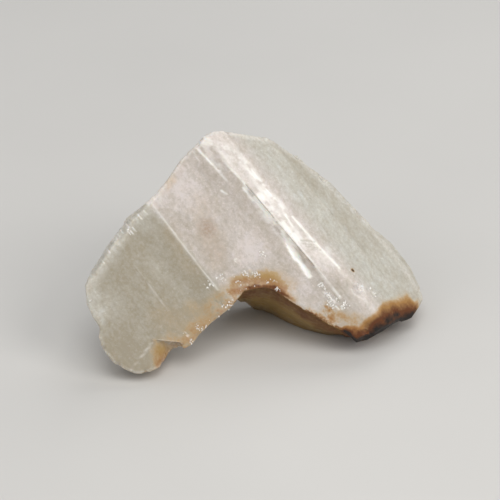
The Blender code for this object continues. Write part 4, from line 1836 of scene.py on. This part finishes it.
@dataclass
class CleavageGrains:
    """Small broken cleavage grains that glint along the rough edges."""

    SHARE = "grains"
    stance: Stance
    per_square_metre: float = 2.2e7
    smallest: float = 0.12
    largest: float = 0.36
    tilt: float = 0.5
    seed: int = 11
    floor_gap: float = 0.3

    def sizes(self) -> dict[str, float]:
        """Gives the values of the tree's named inputs."""
        return {"Per square metre": self.per_square_metre, "Smallest": self.smallest,
                "Largest": self.largest, "Tilt": self.tilt}

    def rhomb(self) -> bpy.types.Object:
        """Makes one grain, a rhomb along the three cleavage edges, a millimetre to a side.

        Returns:
            The grain object, which isn't linked to the scene.
        """
        edges = self.stance.cleavage_edges()
        bm = bmesh.new()
        bmesh.ops.create_cube(bm, size=1.0)
        for vertex in bm.verts:
            face = np.array(vertex.co[:]) @ edges
            origin, tip = self.stance.to_world(np.vstack((np.zeros(3), face)))
            vertex.co = Vector(tip - origin)
        bmesh.ops.recalc_face_normals(bm, faces=bm.faces)
        mesh = bpy.data.meshes.new("grain")
        bm.to_mesh(mesh)
        bm.free()
        return bpy.data.objects.new("grain", mesh)

    def tree(self, grain: bpy.types.Object, material: bpy.types.Material) -> bpy.types.NodeTree:
        """Builds the node tree that strews the grains over the rough places.

        Args:
            grain: The object to repeat.
            material: The grains' finish.

        Returns:
            The node tree.
        """
        tree = bpy.data.node_groups.new("strew_grains", "GeometryNodeTree")
        face = tree.interface
        face.new_socket("Geometry", in_out="INPUT", socket_type="NodeSocketGeometry")
        for name in self.sizes():
            face.new_socket(name, in_out="INPUT", socket_type="NodeSocketFloat")
        face.new_socket("Geometry", in_out="OUTPUT", socket_type="NodeSocketGeometry")
        kinds = {
            "given": "NodeGroupInput", "share": "GeometryNodeInputNamedAttribute",
            "density": "ShaderNodeMath", "strew": "GeometryNodeDistributePointsOnFaces",
            "size": "FunctionNodeRandomValue", "back": "ShaderNodeMath", "turn": "FunctionNodeRandomValue",
            "shape": "GeometryNodeObjectInfo", "copies": "GeometryNodeInstanceOnPoints",
            "real": "GeometryNodeRealizeInstances", "dress": "GeometryNodeSetMaterial",
            "result": "NodeGroupOutput"}
        nodes = {name: tree.nodes.new(kind) for name, kind in kinds.items()}
        nodes["density"].operation = nodes["back"].operation = "MULTIPLY"
        nodes["turn"].data_type = "FLOAT_VECTOR"
        for name, socket, value in (
                ("share", "Name", self.SHARE), ("strew", "Seed", self.seed),
                ("size", "Seed", self.seed + 1), ("turn", "Seed", self.seed + 2), ("back", 1, -1.0),
                ("shape", "Object", grain), ("dress", "Material", material)):
            nodes[name].inputs[socket].default_value = value
        for start, leaving, end, entering in (
                ("given", "Geometry", "strew", "Mesh"), ("given", "Per square metre", "density", 0),
                ("share", "Attribute", "density", 1), ("density", 0, "strew", "Density"),
                ("given", "Smallest", "size", 2), ("given", "Largest", "size", 3),
                ("given", "Tilt", "back", 0), ("back", 0, "turn", 0), ("given", "Tilt", "turn", 1),
                ("strew", "Points", "copies", "Points"), ("shape", "Geometry", "copies", "Instance"),
                ("turn", 0, "copies", "Rotation"), ("size", 1, "copies", "Scale"),
                ("copies", "Instances", "real", "Geometry"), ("real", "Geometry", "dress", "Geometry"),
                ("dress", "Geometry", "result", "Geometry")):
            tree.links.new(nodes[start].outputs[leaving], nodes[end].inputs[entering])
        return tree

    def build(self, stone: bpy.types.Object, material: bpy.types.Material) -> bpy.types.Object:
        """Strews the grains over the stone and makes them a plain mesh.

        Args:
            stone: The finished stone, with its grain shares.
            material: The grains' finish.

        Returns:
            The finished piece.
        """
        ground, grain = place_object("grain_ground", stone.data.copy()), self.rhomb()
        strewn = ground.modifiers.new("grains", "NODES")
        strewn.node_group = self.tree(grain, material)
        sizes = self.sizes()
        for socket in strewn.node_group.interface.items_tree:
            if socket.name in sizes:
                strewn[socket.identifier] = sizes[socket.name]
        mesh = evaluated_mesh(ground)
        bpy.data.objects.remove(grain)
        mesh.name = "cleavage_grains"
        low, high = (np.array(corner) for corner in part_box("calcite"))
        low[2] += self.floor_gap * MM
        CalciteLump.write(mesh, np.clip(CalciteLump.read(mesh), low, high))
        return place_object("cleavage_grains", mesh)


def aim(thing: bpy.types.Object, target: Vector, back: Vector, away: float) -> None:
    """Puts a lamp or a camera away from its target and turns it there.

    Args:
        thing: The lamp or the camera.
        target: The world place to look at.
        back: The direction from the target to the thing.
        away: Its distance in metres.
    """
    thing.location = target + back * away
    thing.rotation_mode = "QUATERNION"
    thing.rotation_quaternion = (-back).to_track_quat("-Z", "Y")


@dataclass(frozen=True)
class Lamp:
    """A soft square lamp: where it hangs, in degrees and metres, its side and its power in watts."""

    name: str
    azimuth: float
    elevation: float
    away: float
    size: float
    power: float
    colour: Colour = (1.0, 1.0, 1.0)

    def hang(self, target: Vector) -> None:
        """Hangs the lamp so that it looks at its target.

        Args:
            target: The world place to look at.
        """
        data = bpy.data.lights.new(self.name, "AREA")
        data.shape, data.size, data.energy, data.color = "SQUARE", self.size, self.power, self.colour
        a, e = math.radians(self.azimuth), math.radians(self.elevation)
        back = Vector((math.sin(a) * math.cos(e), -math.cos(a) * math.cos(e), math.sin(e)))
        aim(place_object(self.name, data), target, back, self.away)


@dataclass
class Studio:
    """The floor, the soft lights and the camera."""

    stance: Stance
    lens: float = 200.0
    distance: float = 0.657
    look_u: float = -0.95
    look_v: float = 29.35
    clip: Ramp = (0.02, 20.0)
    floor_reach: float = 2.5
    lamps: tuple[Lamp, ...] = (
        Lamp("key", 62.0, 42.0, 0.85, 0.42, 2.6, (1.0, 0.98, 0.95)),
        Lamp("front", 5.0, 66.0, 0.95, 0.55, 3.8, (1.0, 0.99, 0.97)),
        Lamp("fill", -60.0, 38.0, 1.1, 0.9, 2.6),
        Lamp("back", 150.0, 45.0, 1.1, 0.7, 3.2),
    )
    sky: tuple[float, float, float, float] = (0.95, 0.97, 1.0, 1.0)
    sky_strength: float = 0.22

    def target(self) -> Vector:
        """Gives the world place that the camera looks at."""
        return Vector(self.stance.to_world(np.array([[self.look_u, self.look_v, 0.0]]))[0])

    def camera(self) -> None:
        """Makes the camera that looks square at the front face."""
        data = bpy.data.cameras.new("camera")
        data.lens = self.lens
        data.clip_start, data.clip_end = self.clip
        camera = place_object("camera", data)
        aim(camera, self.target(), self.stance.out_of_face(), self.distance)
        bpy.context.scene.camera = camera

    def floor(self) -> None:
        """Lays the floor."""
        bm = bmesh.new()
        bmesh.ops.create_grid(bm, x_segments=2, y_segments=2, size=self.floor_reach)
        mesh = bpy.data.meshes.new("floor")
        bm.to_mesh(mesh)
        bm.free()
        mesh.materials.append(FloorFinish().build("pale_floor"))
        place_object("floor", mesh)

    def build(self) -> None:
        """Sets up the floor, the lamps, the sky and the camera."""
        self.floor()
        for lamp in self.lamps:
            lamp.hang(self.target())
        world = bpy.data.worlds.new("sky")
        world.use_nodes = True
        sky = world.node_tree.nodes["Background"]
        sky.inputs["Color"].default_value = self.sky
        sky.inputs["Strength"].default_value = self.sky_strength
        bpy.context.scene.world = world
        bpy.context.scene.view_settings.view_transform = "Standard"
        self.camera()


def main() -> None:
    """Builds the scene, piece by piece."""
    logging.basicConfig(level=logging.INFO, format="%(message)s")
    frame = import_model()
    stance = Stance()
    relief = Relief(stance, BladeLines())
    axes = stance.blade_axes()
    lump = CalciteLump(stance, relief, Stains(relief))
    stone = lump.build(frame["nodes"]["calcite"], CalciteFinish().build("calcite_milky", axes))
    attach(stone, "root")
    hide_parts("calcite")
    LOG.info("stone: %d faces", len(stone.data.polygons))
    grains = CleavageGrains(stance).build(stone, GlintFinish().build("calcite_glint", axes))
    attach(grains, "root")
    LOG.info("grains: %d faces", len(grains.data.polygons))
    Studio(stance).build()


if __name__ == "__main__":
    main()
